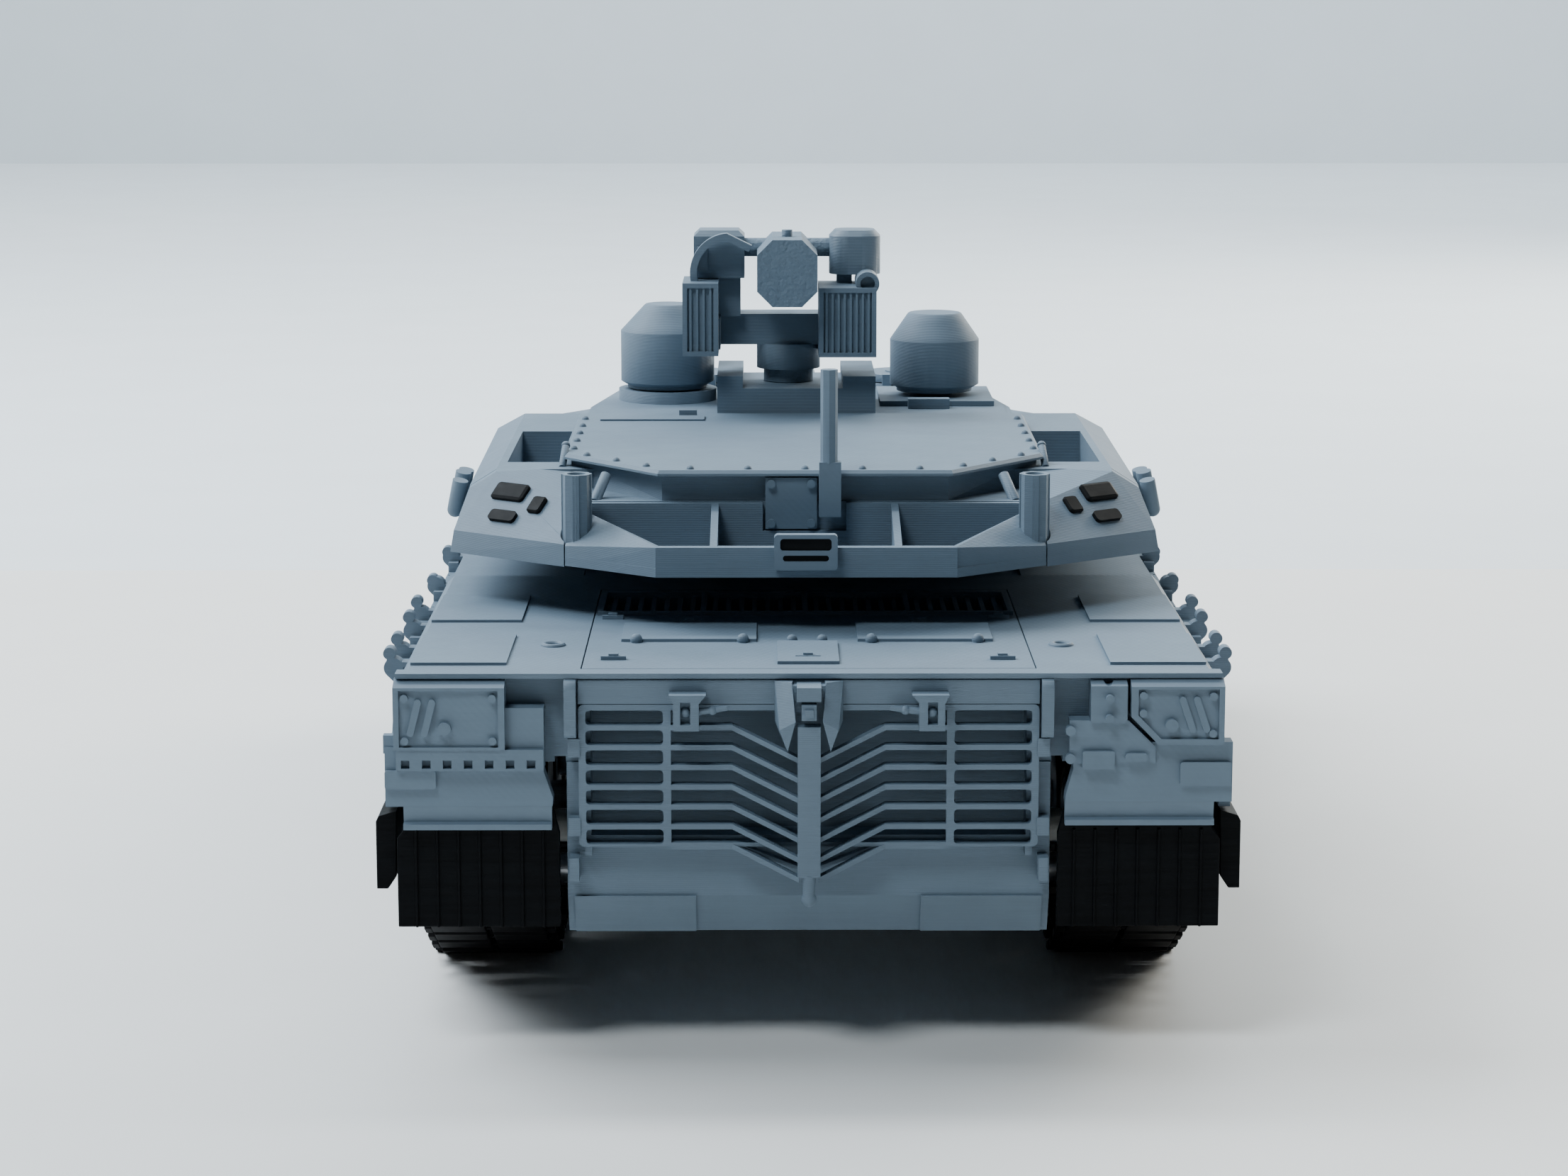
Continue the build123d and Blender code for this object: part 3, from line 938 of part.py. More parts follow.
# ---------------------------------------------------------------- remote weapon station
with BuildPart() as rws_mount:
    rod((RWS_X, RWS_D, 39.0), (RWS_X, RWS_D, 40.5), 1.5)
    rod((RWS_X, RWS_D, 40.45), (RWS_X, RWS_D, 41.6), 2.15)
    rod((RWS_X, RWS_D, 41.6), (RWS_X, RWS_D, 43.8), 2.75)
    block((-7.2, 2.0), (64.2, 68.0), (43.75, 46.4))
    # left arm up to its bearing block
    block((-7.6, -5.2), (63.2, 67.0), (46.3, 51.0))
    block((-9.2, -4.85), (62.0, 66.4), (49.7, 53.75))
    # right neck up to its bearing pod
    block((3.1, 4.4), (62.8, 65.2), (49.1, 50.3))
    with BuildSketch(Plane.XY.offset(50.0)) as pod:
        with Locations((4.65, REAR + 64.0)):
            RectangleRounded(4.4, 4.4, 1.6)
    extrude(pod.sketch, amount=3.75)
    chamfer(rws_mount.edges().group_by(Axis.Z)[-1], 0.5)
    # finned ammunition and electronics boxes
    for x0, x1, z0, z1 in ((-10.1, -7.05, 43.4, 49.6), (1.5, 6.4, 43.3, 49.2)):
        block((x0, x1), (58.0, 65.0), (z0, z1))
        block((x0 + 0.4, x1 - 0.4), (57.0, 58.35), (z0 + 0.4, z1 - 0.4), Mode.SUBTRACT)
        fins = round((x1 - x0 - 0.8) / 0.5)
        for fin in range(fins):
            x = x0 + 0.4 + (fin + 0.5) * (x1 - x0 - 0.8) / fins
            block((x - 0.1, x + 0.1), (58.1, 58.4), (z0 + 0.3, z1 - 0.3))
    block((-7.2, -6.9), (60.0, 65.0), (43.75, 46.4))
    # lens housing beside the neck
    rod((5.65, 58.6, 48.6 + 0.9), (5.65, 63.5, 48.6 + 0.9), 1.0)
    rod((5.65, 58.4, 48.6 + 0.9), (5.65, 59.2, 48.6 + 0.9), 0.62, Mode.SUBTRACT)
    # feed chute from the left box, curving over towards the gun
    with BuildSketch(Plane.XZ.offset(-(REAR + 61.4))) as chute:
        with BuildLine():
            arc = ThreePointArc((-9.1, 49.5), (-8.35, 52.4), (-6.4, 53.35))
            Line(arc @ 1, (-4.35, 52.35))
        trace(line_width=0.6)
    extrude(chute.sketch, amount=1.2)
    block((-8.9, -8.0), (61.3, 62.1), (50.4, 52.4))
    rod((-12, RWS_PIVOT[0], RWS_PIVOT[1]), (8, RWS_PIVOT[0], RWS_PIVOT[1]), 0.8 + RUN, Mode.SUBTRACT)

with BuildPart() as rws_gun:
    centre_x, centre_z = -1.2, 50.6
    with BuildSketch(Plane.XZ.offset(-(REAR + 65.5))) as housing:
        with Locations((centre_x, centre_z)):
            Rectangle(5.1, 5.65)
        chamfer(housing.vertices(), 1.3)
    extrude(housing.sketch, amount=9.5)
    rod((centre_x, 60.0, 53.3), (centre_x, 60.0, 54.0), 0.45)
    rod((-8.6, RWS_PIVOT[0], RWS_PIVOT[1]), (6.4, RWS_PIVOT[0], RWS_PIVOT[1]), 0.8)
    # barrel with its cooling jacket and muzzle
    rod((centre_x, 65.0, 50.2), (centre_x, 72.0, 50.2), 0.85)
    rod((centre_x, 72.0, 50.2), (centre_x, 84.0, 50.2), 0.42)
    rod((centre_x, 84.0, 50.2), (centre_x, 85.6, 50.2), 0.6)
    rod((centre_x, 80.0, 50.2), (centre_x, 86.0, 50.2), 0.25, Mode.SUBTRACT)

# ---------------------------------------------------------------- main gun
with BuildPart() as gun_mantlet:
    rod((-MANTLET_HALF, GUN_D, GUN_Z), (MANTLET_HALF, GUN_D, GUN_Z), 3.1)
    side_profile(
        [(GUN_D, GUN_Z - 3.1), (GUN_D + 6.0, GUN_Z - 2.5), (GUN_D + 8.2, GUN_Z - 0.6),
         (GUN_D + 6.6, GUN_Z + 2.4), (GUN_D, GUN_Z + 3.1)],
        (-MANTLET_HALF, MANTLET_HALF),
    )
    rod((-7.6, GUN_D, GUN_Z), (7.6, GUN_D, GUN_Z), 0.8)
    rod((0, GUN_D - 1.5, GUN_Z), (0, GUN_D + 12, GUN_Z), 1.9, Mode.SUBTRACT)
    rod((3.6, GUN_D + 3, GUN_Z + 0.4), (3.6, GUN_D + 12, GUN_Z + 0.4), 0.45, Mode.SUBTRACT)

with BuildPart() as gun_barrel:
    rod((0, GUN_D - 1.5, GUN_Z), (0, GUN_D + 10.0, GUN_Z), 1.9)
    cone((0, GUN_D + 10.0, GUN_Z), (0, GUN_D + 31.0, GUN_Z), 1.75, 1.55)
    rod((0, GUN_D + 31.0, GUN_Z), (0, GUN_D + 40.0, GUN_Z), 2.25)
    cone((0, GUN_D + 40.0, GUN_Z), (0, MUZZLE - 1.6, GUN_Z), 1.5, 1.3)
    rod((0, MUZZLE - 1.6, GUN_Z), (0, MUZZLE, GUN_Z), 1.5)
    rod((0, MUZZLE - 14.0, GUN_Z), (0, MUZZLE + 1, GUN_Z), 0.95, Mode.SUBTRACT)

# ---------------------------------------------------------------- turret hatches
hatches = {}
for name, (x, d) in HATCH_SPOTS.items():
    with BuildPart() as hatch:
        with Locations(spot(x, d, 38.75)):
            Cylinder(HATCH_R, 0.7)
        with Locations(spot(x, d, 38.2)):
            Cylinder(2.8, 0.6)
        with Locations(spot(x, d, 39.1)):
            Cylinder(1.6, 0.3)
        block((x - 1.1, x + 1.1), (d - HATCH_R - 0.9, d - HATCH_R + 1.0), (38.4, 39.25))
        rod((x - 2.0, d - HATCH_R - 0.55, 38.85), (x + 2.0, d - HATCH_R - 0.55, 38.85), 0.22)
        block((x - 0.8, x + 0.8), (d + 1.9, d + 2.2), (39.0, 39.6))
    hatches[name] = hatch

# ---------------------------------------------------------------- write the parts
pieces = {
    "hull_tub": hull_tub, "hull_deck": hull_deck, "engine_cover": engine_cover, "rear_grille": rear_grille,
    "pintle_hitch": pintle_hitch, "hull_fittings": hull_fittings, "stowage_left": stowage_left,
    "stowage_right": stowage_right, "mud_flaps": mud_flaps, "skirt_rubbers": skirt_rubbers,
    "wheel_axles": wheel_axles, "drive_motors": drive_motors, "battery": battery,
    "control_board": control_board, "belly_cover": belly_cover, "screws": screws,
    "power_switch": power_switch, "turret_motor": turret_motor,
    "turret_pinion": turret_pinion, "driver_hatch": driver_hatch, "turret_shell": turret_shell,
    "turret_roof": turret_roof, "turret_ring_gear": turret_ring_gear, "bustle_rack": bustle_rack,
    "sensor_windows": sensor_windows, "turret_fittings": turret_fittings, "rws_mount": rws_mount,
    "rws_gun": rws_gun, "gun_mantlet": gun_mantlet, "gun_barrel": gun_barrel,
}
for side_name in SIDES:
    pieces[f"skirt_{side_name}"] = skirts[side_name]
    pieces[f"track_{side_name}"] = tracks[side_name]
    pieces[f"sprocket_{side_name}"] = sprockets[side_name]
    pieces[f"final_gear_{side_name}"] = final_gears[side_name]
    pieces[f"motor_pinion_{side_name}"] = motor_pinions[side_name]
pieces |= wheels | sights | hatches

for piece_name, piece in pieces.items():
    save(piece, piece_name)
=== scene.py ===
import json
import math

import bmesh
import bpy
from mathutils import Matrix, Vector


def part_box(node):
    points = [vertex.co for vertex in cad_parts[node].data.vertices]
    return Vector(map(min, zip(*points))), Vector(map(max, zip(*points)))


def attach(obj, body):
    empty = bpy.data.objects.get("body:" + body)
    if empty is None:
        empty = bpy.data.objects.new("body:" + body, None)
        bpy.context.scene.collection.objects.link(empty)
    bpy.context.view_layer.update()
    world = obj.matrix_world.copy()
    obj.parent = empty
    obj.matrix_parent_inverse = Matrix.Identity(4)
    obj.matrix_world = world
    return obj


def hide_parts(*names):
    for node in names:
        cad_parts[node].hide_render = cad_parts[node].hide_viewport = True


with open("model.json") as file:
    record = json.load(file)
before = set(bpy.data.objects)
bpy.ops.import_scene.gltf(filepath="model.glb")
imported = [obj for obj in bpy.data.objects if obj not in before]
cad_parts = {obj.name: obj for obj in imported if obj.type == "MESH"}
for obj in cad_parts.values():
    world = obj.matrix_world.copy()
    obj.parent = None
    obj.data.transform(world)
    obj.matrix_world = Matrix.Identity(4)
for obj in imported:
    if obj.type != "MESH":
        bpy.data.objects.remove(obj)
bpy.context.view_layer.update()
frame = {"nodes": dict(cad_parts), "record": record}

MM = 0.001
NODES = frame["nodes"]
SIDES = {"left": -1, "right": 1}

# ---------------------------------------------------------------- sizes of the print
LAYER = 0.08 * MM             # height of one printed layer
LINE = 0.42 * MM              # width of one printed line
EDGE = 0.07 * MM              # how far a printed edge is rounded
EDGE_ANGLE = math.radians(24)         # edges that turn by more than this are rounded
SAME_POINT = 0.002 * MM       # corners closer than this are one corner
SQUARE_ON = 0.93              # a face lies square to an axis when its normal has this much of it
NOISE_LOW, NOISE_HIGH = 0.3, 0.7      # noise mostly stays between these

# ---------------------------------------------------------------- sizes of the track
LINK_PITCH = 3.2 * MM
LINK_T = 1.2 * MM             # thickness of the track
TRACK_GAP = 0.12 * MM         # clearance between the track and what runs in it
PATH_STEP = 0.25 * MM         # spacing of the points along the track's path
LINK_EDGE = 0.12 * MM         # rounding of a link's blocks
LINK_EDGE_PROFILE = 0.6       # a little fuller than a quarter circle, which is 0.5
# shares of the track's width, of the pitch and of the thickness
PAD = (0.405, 0.74, 0.8)
PAD_OUT = 0.225
PAD_DROP = 0.08
CONNECTOR = (0.055, 0.55, 0.62)
CONNECTOR_OUT = 0.467
CONNECTOR_EDGE = 0.1 * MM
PIN_LENGTH = 0.9
PIN_D = 0.5 * MM
GUIDE = (0.07, 0.42)
GUIDE_H = 0.9 * MM
GUIDE_RISE = 0.3 * MM

# ---------------------------------------------------------------- sizes of the wheels
TYRE_T = 0.95 * MM            # rubber round each road wheel
TYRE_EDGE = 0.22 * MM
DISC_T = 1.7 * MM             # each of a wheel's two discs
BORE_R = 0.66 * MM            # runs on the axle
HUB_R = 2.1 * MM
HUB_SETBACK = 0.15 * MM       # hub face behind the rim's face
WEB_IN = 2.35 * MM            # where the dished web meets the hub
DISH = 0.55 * MM              # depth of the web behind the rim's face
RIM_EDGE = 0.12 * MM
RIM_FACE = 0.75 * MM          # flat ring inside the rim's edge
WEB_OUT = 1.15 * MM           # where the web meets the rim, in from the edge
BOLTS = 8
BOLT_CIRCLE_R = 2.95 * MM
BOLT_SIDES = 6
BOLT_R = 0.3 * MM
BOLT_TOP_R = 0.22 * MM
BOLT_TIP_R = 0.01 * MM        # the profile stops just short of the bolt's axis
BOLT_SUNK = 0.05 * MM
BOLT_SHOULDER = 0.16 * MM
BOLT_H = 0.22 * MM
WHEEL_SECTORS = 64
TYRE_SECTORS = 96
SHARP_ANGLE = math.radians(35)        # a turned surface keeps edges sharper than this


# ---------------------------------------------------------------- node helpers
class Nodes:
    """A material's node tree, with short calls to add and join nodes."""

    def __init__(self, name):
        self.material = bpy.data.materials.new(name)
        self.material.use_nodes = True
        self.tree = self.material.node_tree
        self.shader = self.tree.nodes["Principled BSDF"]

    def add(self, kind, **settings):
        node = self.tree.nodes.new(kind)
        for key, value in settings.items():
            setattr(node, key, value)
        return node

    def join(self, source, target):
        self.tree.links.new(source, target)

    def put(self, socket, value):
        """Joins a socket or sets a plain value."""
        if isinstance(value, bpy.types.NodeSocket):
            self.join(value, socket)
        else:
            socket.default_value = value

    def math(self, operation, *values):
        node = self.add("ShaderNodeMath", operation=operation)
        for socket, value in zip(node.inputs, values):
            self.put(socket, value)
        return node.outputs[0]

    def choose(self, choice, otherwise, chosen):
        """One value where the choice is 0 and another where it is 1."""
        node = self.add("ShaderNodeMix", data_type="FLOAT")
        self.join(choice, node.inputs["Factor"])
        self.join(otherwise, node.inputs["A"])
        self.join(chosen, node.inputs["B"])
        return node.outputs["Result"]

    def noise(self, scale, detail=3.0, stretch=(1.0, 1.0, 1.0), rough=0.55):
        """Noise in the piece's own coordinates, with scale features a metre."""
        coordinates = self.add("ShaderNodeTexCoord").outputs["Object"]
        mapping = self.add("ShaderNodeMapping")
        mapping.inputs["Scale"].default_value = stretch
        self.join(coordinates, mapping.inputs["Vector"])
        node = self.add("ShaderNodeTexNoise")
        node.inputs["Scale"].default_value = scale
        node.inputs["Detail"].default_value = detail
        node.inputs["Roughness"].default_value = rough
        self.join(mapping.outputs[0], node.inputs["Vector"])
        return node.outputs["Fac"]

    def vary(self, factor, middle, spread):
        """A number that wanders round its middle as the factor goes from 0 to 1."""
        return self.math("ADD", self.math("MULTIPLY", factor, spread), middle - spread / 2)

    def ramp(self, factor, dark, light):
        """Two colours blended over the range of a noise."""
        node = self.add("ShaderNodeValToRGB")
        low, high = node.color_ramp.elements
        low.position = NOISE_LOW
        low.color = (*dark, 1)
        high.position = NOISE_HIGH
        high.color = (*light, 1)
        self.join(factor, node.inputs[0])
        return node.outputs[0]

    def bump(self, height, distance, strength, normal=None):
        node = self.add("ShaderNodeBump")
        node.inputs["Strength"].default_value = strength
        node.inputs["Distance"].default_value = distance
        self.join(height, node.inputs["Height"])
        if normal is not None:
            self.join(normal, node.inputs["Normal"])
        return node.outputs[0]

    def finish(self, colour, roughness, normal=None, metallic=0.0):
        self.put(self.shader.inputs["Base Color"], colour)
        self.put(self.shader.inputs["Roughness"], roughness)
        self.shader.inputs["Metallic"].default_value = metallic
        if normal is not None:
            self.join(normal, self.shader.inputs["Normal"])
        return self.material


# ---------------------------------------------------------------- materials
def shade(colour, factor):
    return tuple(c * factor for c in colour)


def print_lines(m, face_raster):
    """Height of the print's lines: layer steps up the walls and 45 degree lines on the flats.

    With face_raster, upright faces that look along y have 45 degree lines too, as if printed lying down.
    """
    coordinates = m.add("ShaderNodeTexCoord")
    place = m.add("ShaderNodeSeparateXYZ")
    m.join(coordinates.outputs["Object"], place.inputs[0])
    facing = m.add("ShaderNodeSeparateXYZ")
    m.join(coordinates.outputs["Normal"], facing.inputs[0])
    x, y, z = place.outputs
    diagonal = LINE * math.sqrt(2)

    def lines(value, pitch):
        wave = m.math("SINE", m.math("MULTIPLY", value, 2 * math.pi / pitch))
        return m.math("MULTIPLY_ADD", wave, 0.5, 0.5)

    def square_to(axis):
        return m.math("GREATER_THAN", m.math("ABSOLUTE", facing.outputs[axis]), SQUARE_ON)

    height = m.choose(square_to(2), lines(z, LAYER), lines(m.math("ADD", x, y), diagonal))
    if face_raster:
        height = m.choose(square_to(1), height, lines(m.math("ADD", x, z), diagonal))
    return height


def printed(name, colour, roughness=0.62, face_raster=False, grain=0.0, relief=0.014):
    """Printed plastic with its lines, slight unevenness in tone and, on rough pieces, a grain.

    The relief of the lines and the grain are heights in millimetres.
    """
    m = Nodes(name)
    banding = m.noise(110.0, detail=5.0, stretch=(1.0, 1.0, 22.0), rough=0.7)
    ripple = m.noise(420.0, stretch=(1.0, 1.0, 9.0))
    normal = m.bump(print_lines(m, face_raster), relief * MM, strength=0.8)
    normal = m.bump(ripple, 0.03 * MM, strength=0.4, normal=normal)
    if grain:
        normal = m.bump(m.noise(1900.0, detail=2.0), grain * MM, strength=1.0, normal=normal)
    mottle = m.noise(260.0, detail=4.0)
    tone = m.math("ADD", m.math("MULTIPLY", banding, 0.45), m.math("MULTIPLY", mottle, 0.55))
    base = m.ramp(tone, shade(colour, 0.93), shade(colour, 1.07))
    return m.finish(base, m.vary(m.noise(500.0), roughness, spread=0.14), normal)


def black_plastic(name, colour, roughness, ribs, sheen):
    """Black plastic or rubber, dull and a little streaky."""
    m = Nodes(name)
    m.shader.inputs["Specular IOR Level"].default_value = sheen
    cloud = m.noise(900.0, detail=4.0)
    streak = m.noise(160.0, stretch=(1.0, 1.0, 14.0))
    normal = m.bump(cloud, 0.02 * MM, strength=0.7)
    if ribs:
        normal = m.bump(streak, ribs * MM, strength=0.8, normal=normal)
    base = m.ramp(streak, shade(colour, 0.7), shade(colour, 1.5))
    return m.finish(base, m.vary(cloud, roughness, spread=0.2), normal)


def metal(name, colour, roughness, along=(1.0, 1.0, 25.0)):
    """Turned or drawn metal, with fine marks one way."""
    m = Nodes(name)
    marks = m.noise(700.0, stretch=along)
    normal = m.bump(marks, 0.008 * MM, strength=0.5)
    base = m.ramp(marks, shade(colour, 0.82), shade(colour, 1.05))
    return m.finish(base, m.vary(marks, roughness, spread=0.16), normal, metallic=1.0)


def moulded(name, colour, roughness, spread=0.08):
    """Smooth moulded plastic with a faint mottle."""
    m = Nodes(name)
    mottle = m.noise(420.0, detail=4.0)
    normal = m.bump(mottle, 0.012 * MM, strength=0.5)
    base = m.ramp(mottle, shade(colour, 1 - spread), shade(colour, 1 + spread))
    return m.finish(base, m.vary(mottle, roughness, spread=0.12), normal)


GREY = (0.133, 0.190, 0.247)
MATERIALS = {
    "printed_grey": printed("printed_grey", GREY),
    "printed_face": printed("printed_face", GREY, face_raster=True, relief=0.004),
    "printed_rough": printed("printed_rough", shade(GREY, 1.05), roughness=0.7, face_raster=True, grain=0.2),
    "printed_box": printed("printed_box", shade(GREY, 0.98), roughness=0.5),
    "black_plastic": black_plastic(
        "black_plastic", (0.0020, 0.0027, 0.0036), roughness=0.55, ribs=0.05, sheen=0.08),
    "track_rubber": black_plastic(
        "track_rubber", (0.006, 0.006, 0.007), roughness=0.75, ribs=0.03, sheen=0.12),
    "sensor_black": black_plastic(
        "sensor_black", (0.004, 0.005, 0.006), roughness=0.62, ribs=0.0, sheen=0.12),
    "steel": metal("steel", (0.60, 0.61, 0.63), roughness=0.32),
    "motor_can": metal("motor_can", (0.66, 0.67, 0.69), roughness=0.38, along=(25.0, 1.0, 1.0)),
    "gear_white": moulded("gear_white", (0.74, 0.73, 0.68), roughness=0.45),
    "brass": metal("brass", (0.78, 0.58, 0.25), roughness=0.3),
    "battery_wrap": moulded("battery_wrap", (0.40, 0.42, 0.45), roughness=0.3, spread=0.12),
    "circuit_board": moulded("circuit_board", (0.015, 0.13, 0.055), roughness=0.35, spread=0.2),
}
# nodes whose print looks different from the rest of their slot
NODE_MATERIALS = {
    "stowage_left": "printed_face", "stowage_right": "printed_face", "turret_fittings": "printed_face",
    "rws_gun": "printed_rough", "rws_mount": "printed_box",
}


# ---------------------------------------------------------------- shown CAD nodes
def dress(node, material):
    """Gives a CAD node its material and rounds its edges without touching its mesh."""
    piece = NODES[node]
    piece.data.materials.clear()
    piece.data.materials.append(material)
    weld = piece.modifiers.new("weld", "WELD")
    weld.merge_threshold = SAME_POINT
    bevel = piece.modifiers.new("rounded_edges", "BEVEL")
    bevel.width = EDGE
    bevel.segments = 2
    bevel.limit_method = "ANGLE"
    bevel.angle_limit = EDGE_ANGLE
    bevel.use_clamp_overlap = True
    bevel.harden_normals = True


record_slots = {s["node"]: s["material_slot"] for s in frame["record"]["subparts"]}
for node in NODES:
    dress(node, MATERIALS[NODE_MATERIALS.get(node, record_slots[node])])


# ---------------------------------------------------------------- running gear built as meshes
def new_piece(name, builder, body, slot):
    """Turns a bmesh into a piece that rides on a body, with the material named after its slot."""
    mesh = bpy.data.meshes.new(name)
    bmesh.ops.recalc_face_normals(builder, faces=builder.faces)
    builder.to_mesh(mesh)
    builder.free()
    piece = bpy.data.objects.new(name, mesh)
    bpy.context.scene.collection.objects.link(piece)
    mesh.materials.append(MATERIALS[slot])
    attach(piece, body)
    return piece


def smooth(piece):
    """Smooth shading that keeps sharp edges sharp."""
    for face in piece.data.polygons:
        face.use_smooth = True
    piece.data.set_sharp_from_angle(angle=SHARP_ANGLE)


def centre_of(node):
    low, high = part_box(node)
    return (low + high) / 2


def radius_of(name):
    low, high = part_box(name)
    return (high.z - low.z) / 2


def round_block(builder, link, place, size, edge=LINK_EDGE):
    """A rounded block at a place on a track link."""
    fit = link @ Matrix.Translation(place) @ Matrix.Diagonal((*size, 1))
    made = bmesh.ops.create_cube(builder, size=1.0, matrix=fit)
    edges = {e for v in made["verts"] for e in v.link_edges}
    bmesh.ops.bevel(builder, geom=list(edges), offset=edge, segments=2, affect="EDGES",
                    profile=LINK_EDGE_PROFILE)


def loop_circles(side):
    """Centre in (y, z) and radius of each circle that the middle of the track's thickness runs round.

    The loop goes from the rear sprocket along the ground to the idler, with road wheel 1 at the rear.
    """
    nodes = (f"sprocket_{side}", f"road_wheel_{side}_1", f"road_wheel_{side}_7", f"idler_{side}")
    radii = [radius_of(node) for node in nodes]
    # the sprocket's teeth reach into the track, so the track runs round it as it does round the idler
    radii[0] = radii[-1]
    circles = []
    for node, radius in zip(nodes, radii):
        centre = centre_of(node)
        circles.append((Vector((centre.y, centre.z)), radius + TRACK_GAP + LINK_T / 2))
    return circles


def after(items, i):
    """The item after number i, on a closed loop."""
    return items[(i + 1) % len(items)]


def turned(angle):
    return Vector((math.cos(angle), math.sin(angle)))


def loop_outline(circles):
    """Closely spaced points round the loop: a straight run between circles, then an arc on the next one."""
    runs = []
    for i, (centre, radius) in enumerate(circles):
        next_centre, next_radius = after(circles, i)
        along = next_centre - centre
        lean = math.asin((radius - next_radius) / along.length)
        # the outer side is to the right of the run
        angle = math.atan2(along.y, along.x) - math.pi / 2 + lean
        runs.append((centre + turned(angle) * radius, next_centre + turned(angle) * next_radius, angle))
    outline = []
    for i, (start, end, angle) in enumerate(runs):
        steps = max(2, int((end - start).length / PATH_STEP))
        outline += [start.lerp(end, s / steps) for s in range(steps)]
        centre, radius = after(circles, i)
        sweep = (after(runs, i)[2] - angle) % (2 * math.pi)
        steps = max(2, int(sweep * radius / PATH_STEP))
        outline += [centre + radius * turned(angle + sweep * s / steps) for s in range(steps)]
    return outline


def link_places(side):
    """Where each link sits, as its point in (y, z) and its turn, and the pitch that closes the loop."""
    outline = loop_outline(loop_circles(side))
    lengths = [(after(outline, i) - point).length for i, point in enumerate(outline)]
    links = round(sum(lengths) / LINK_PITCH)
    pitch = sum(lengths) / links
    places = []
    travelled = 0.0
    target = 0.0
    for i, point in enumerate(outline):
        following = after(outline, i)
        while target < travelled + lengths[i] and len(places) < links:
            place = point.lerp(following, (target - travelled) / lengths[i])
            direction = (following - point).normalized()
            places.append((place, math.atan2(direction.y, direction.x)))
            target += pitch
        travelled += lengths[i]
    return places, pitch


def build_track(side):
    """One link after another: two rubber pads on a pin, end connectors and a centre guide.

    On a link, x goes across the track, y along it and z towards the wheels.
    """
    low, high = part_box(f"track_{side}")
    middle = (low.x + high.x) / 2
    width = high.x - low.x
    places, pitch = link_places(side)
    pad = (width * PAD[0], pitch * PAD[1], LINK_T * PAD[2])
    connector = (width * CONNECTOR[0], pitch * CONNECTOR[1], LINK_T * CONNECTOR[2])
    pin = (width * PIN_LENGTH, PIN_D, PIN_D)
    guide = (width * GUIDE[0], pitch * GUIDE[1], GUIDE_H)
    builder = bmesh.new()
    for place, turn in places:
        link = Matrix.Translation((middle, place.x, place.y)) @ Matrix.Rotation(turn, 4, "X")
        for way in SIDES.values():
            round_block(builder, link, (way * width * PAD_OUT, 0, -LINK_T * PAD_DROP), pad)
            end = (way * width * CONNECTOR_OUT, pitch / 2, 0)
            round_block(builder, link, end, connector, CONNECTOR_EDGE)
        round_block(builder, link, (0, pitch / 2, 0), pin)
        round_block(builder, link, (0, 0, LINK_T / 2 + GUIDE_RISE), guide)
    piece = new_piece(f"track_links_{side}", builder, "hull", "track_rubber")
    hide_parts(f"track_{side}")


def lathe(builder, centre, profile, side, sectors=WHEEL_SECTORS):
    """Turns an (x, radius) profile round the wheel's axis, with x outwards from the tank's middle."""
    rings = []
    for x, radius in profile:
        ring = []
        for i in range(sectors):
            angle = 2 * math.pi * i / sectors
            y = centre.y + radius * math.cos(angle)
            z = centre.z + radius * math.sin(angle)
            ring.append(builder.verts.new((side * x, y, z)))
        rings.append(ring)
    for a, b in zip(rings, rings[1:] + rings[:1]):
        for i in range(sectors):
            builder.faces.new((a[i], after(a, i), after(b, i), b[i]))


def disc_profile(inner, outer, rim):
    """One disc of a wheel: a bevelled rim, a dished web and a raised hub face, closed at the bore."""
    return [
        (inner, BORE_R), (inner, rim - RIM_EDGE), (inner + RIM_EDGE, rim),
        (outer - RIM_EDGE, rim), (outer, rim - RIM_EDGE), (outer, rim - RIM_FACE),
        (outer - DISH, rim - WEB_OUT), (outer - DISH, WEB_IN),
        (outer - HUB_SETBACK, HUB_R), (outer - HUB_SETBACK, BORE_R),
    ]


def tyre_profile(inner, outer, rim, radius):
    return [
        (inner, rim), (inner, radius - TYRE_EDGE), (inner + TYRE_EDGE, radius),
        (outer - TYRE_EDGE, radius), (outer, radius - TYRE_EDGE), (outer, rim),
    ]


def bolt_profile(web):
    """A bolt head on the web's face, with a chamfered top."""
    foot, shoulder, top = web - BOLT_SUNK, web + BOLT_SHOULDER, web + BOLT_H
    return [(foot, BOLT_TIP_R), (foot, BOLT_R), (shoulder, BOLT_R), (top, BOLT_TOP_R), (top, BOLT_TIP_R)]


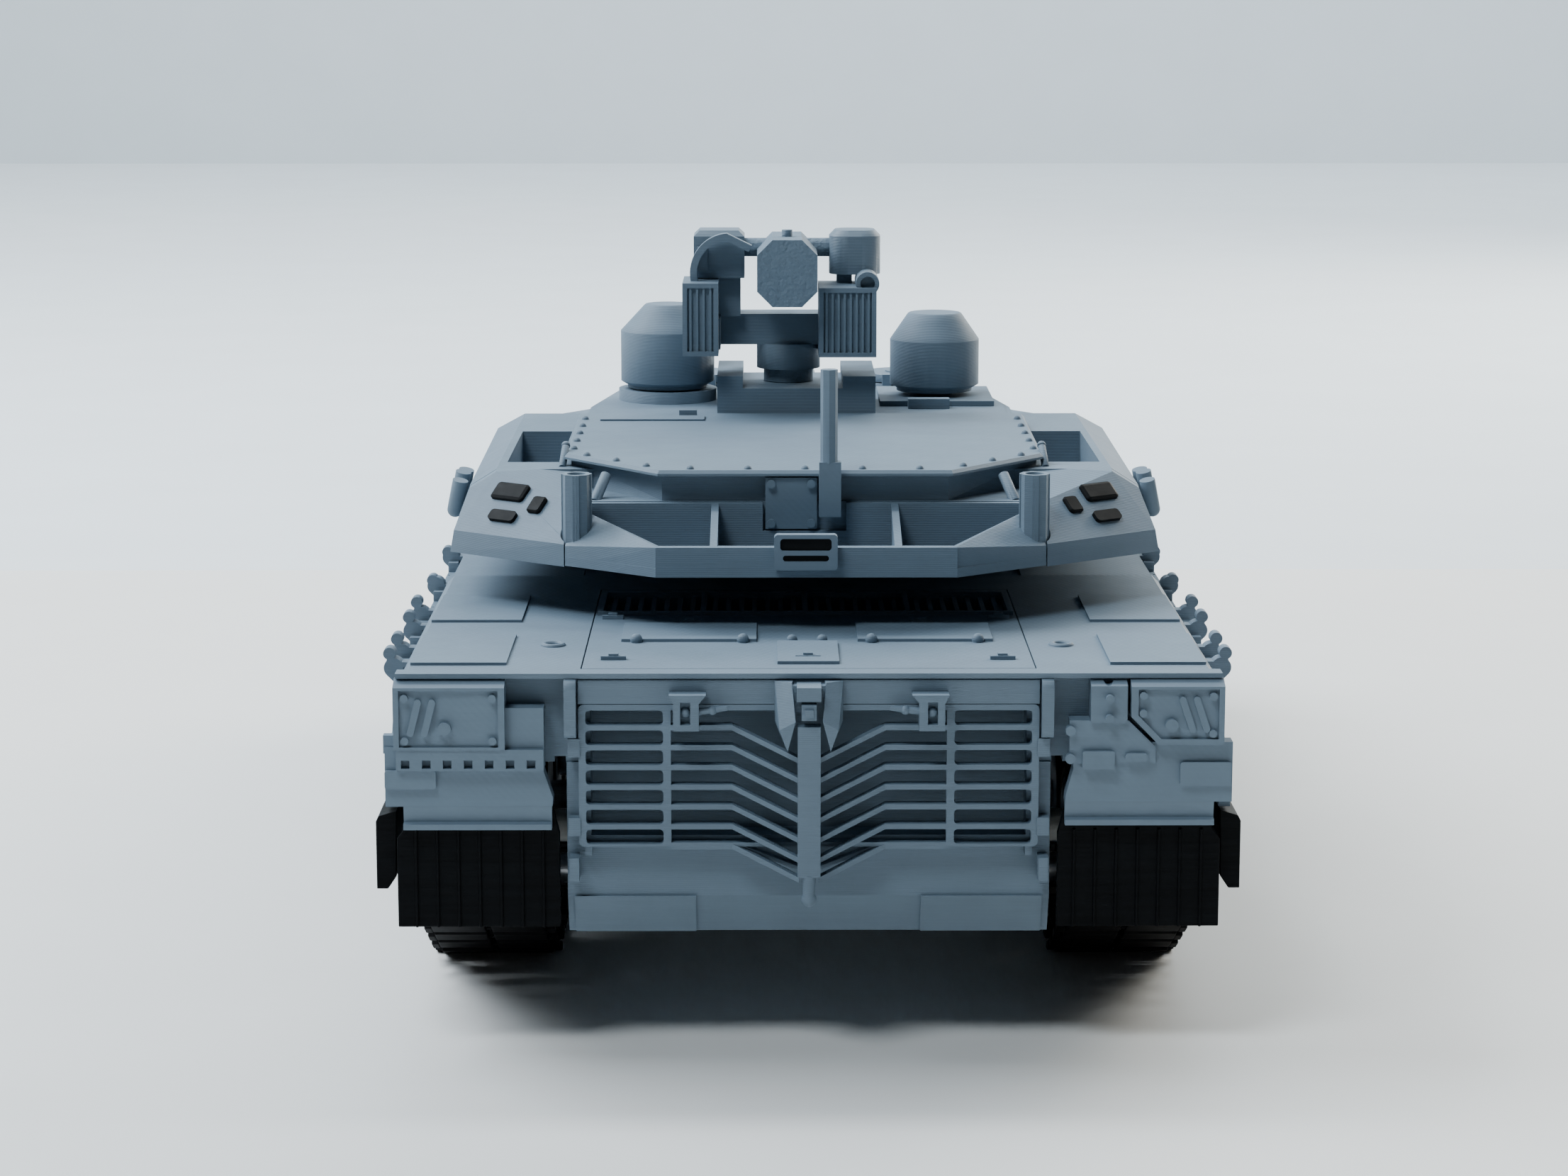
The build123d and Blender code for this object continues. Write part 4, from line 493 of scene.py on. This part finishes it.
def build_wheel(node, body, side_name, tyre):
    """Twin discs on a sleeve, bolt heads on the outer disc, and tyres where the tyre has a thickness."""
    side = SIDES[side_name]
    low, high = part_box(node)
    centre = centre_of(node)
    radius = radius_of(node)
    near, far = sorted((abs(low.x), abs(high.x)))
    discs = ((near, near + DISC_T), (far - DISC_T, far))
    rim = radius - tyre
    builder = bmesh.new()
    for inner, outer in discs:
        lathe(builder, centre, disc_profile(inner, outer, rim), side)
    start, end = discs[0][1], discs[1][0]
    lathe(builder, centre, [(start, BORE_R), (start, HUB_R), (end, HUB_R), (end, BORE_R)], side)
    for bolt in range(BOLTS):
        out = turned(2 * math.pi * (bolt + 0.5) / BOLTS) * BOLT_CIRCLE_R
        lathe(builder, centre + Vector((0, out.x, out.y)), bolt_profile(far - DISH), side, BOLT_SIDES)
    piece = new_piece(f"{node}_discs", builder, body, "printed_grey")
    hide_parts(node)
    smooth(piece)
    if not tyre:
        return
    builder = bmesh.new()
    for inner, outer in discs:
        lathe(builder, centre, tyre_profile(inner, outer, rim, radius), side, TYRE_SECTORS)
    smooth(new_piece(f"{node}_tyres", builder, body, "track_rubber"))


for side_name in SIDES:
    build_track(side_name)
    build_wheel(f"idler_{side_name}", f"idler_{side_name}", side_name, 0.0)
    for number in range(1, 8):
        wheel = f"road_wheel_{side_name}_{number}"
        build_wheel(wheel, wheel, side_name, TYRE_T)


# ---------------------------------------------------------------- floor and backdrop
SCENE_HALF = 1.4
TABLE_EDGE = 0.123            # where the table's pale top gives way to the wall's colour
WALL_Y = 1.0
WALL_TOP = 1.2
TABLE_COLOUR = (0.84, 0.84, 0.82)
WALL_COLOUR = (0.74, 0.80, 0.84)


def plain_surface(name, corners, colour, roughness):
    mesh = bpy.data.meshes.new(name)
    mesh.from_pydata(corners, [], [range(len(corners))])
    surface = bpy.data.objects.new(name, mesh)
    bpy.context.scene.collection.objects.link(surface)
    material = Nodes(name)
    tint = material.ramp(material.noise(40.0), shade(colour, 0.985), shade(colour, 1.015))
    mesh.materials.append(material.finish(tint, roughness))


def ground(near, far):
    """Corners of a strip of ground across the whole scene, between two places in y."""
    return [(-SCENE_HALF, near, 0), (SCENE_HALF, near, 0), (SCENE_HALF, far, 0), (-SCENE_HALF, far, 0)]


wall = [
    (-SCENE_HALF, WALL_Y, 0), (SCENE_HALF, WALL_Y, 0), (SCENE_HALF, WALL_Y, WALL_TOP),
    (-SCENE_HALF, WALL_Y, WALL_TOP),
]
plain_surface("floor", ground(-SCENE_HALF, TABLE_EDGE), TABLE_COLOUR, roughness=0.5)
plain_surface("far_floor", ground(TABLE_EDGE, WALL_Y), WALL_COLOUR, roughness=0.9)
plain_surface("backdrop", wall, WALL_COLOUR, roughness=0.9)


# ---------------------------------------------------------------- light
def area_light(name, place, target, size, power, colour):
    light = bpy.data.lights.new(name, "AREA")
    light.shape = "RECTANGLE"
    light.size, light.size_y = size
    light.energy = power
    light.color = colour
    lamp = bpy.data.objects.new(name, light)
    bpy.context.scene.collection.objects.link(lamp)
    lamp.location = place
    lamp.rotation_euler = (Vector(target) - Vector(place)).to_track_quat("-Z", "Y").to_euler()


area_light("window", (-0.42, 0.12, 0.46), target=(0, -0.02, 0.02), size=(0.42, 0.32), power=5.8,
           colour=(0.84, 0.92, 1.0))
area_light("warm_side", (0.40, 0.42, 0.26), target=(0.10, -0.02, 0.0), size=(0.30, 0.30), power=3.4,
           colour=(1.0, 0.96, 0.86))
area_light("high_fill", (-0.22, -0.36, 0.62), target=(0, -0.06, 0.02), size=(0.22, 0.16), power=2.5,
           colour=(0.86, 0.94, 1.0))
area_light("wall_wash", (0.10, 0.45, 0.95), target=(0.10, 0.98, 0.12), size=(1.6, 0.30), power=16.0,
           colour=(0.92, 0.97, 1.0))

world = bpy.data.worlds.new("studio")
world.use_nodes = True
sky = world.node_tree.nodes["Background"]
sky.inputs["Color"].default_value = (0.80, 0.86, 0.94, 1)
sky.inputs["Strength"].default_value = 0.05
bpy.context.scene.world = world

# ---------------------------------------------------------------- camera, fitted to the photograph's view
SENSOR_WIDTH = 36             # camera and lens sizes in millimetres
FOCAL_LENGTH = 82.8
CAMERA_PLACE = (-2.93 * MM, -327.7 * MM, 77.6 * MM)
CAMERA_TILT = math.radians(79.94)     # from looking straight down
CAMERA_TURN = math.radians(-0.274)
camera_data = bpy.data.cameras.new("camera")
camera_data.sensor_width = SENSOR_WIDTH
camera_data.lens = FOCAL_LENGTH
camera_data.clip_start = 0.01
camera = bpy.data.objects.new("camera", camera_data)
bpy.context.scene.collection.objects.link(camera)
camera.location = CAMERA_PLACE
camera.rotation_euler = (CAMERA_TILT, 0, CAMERA_TURN)
bpy.context.scene.camera = camera
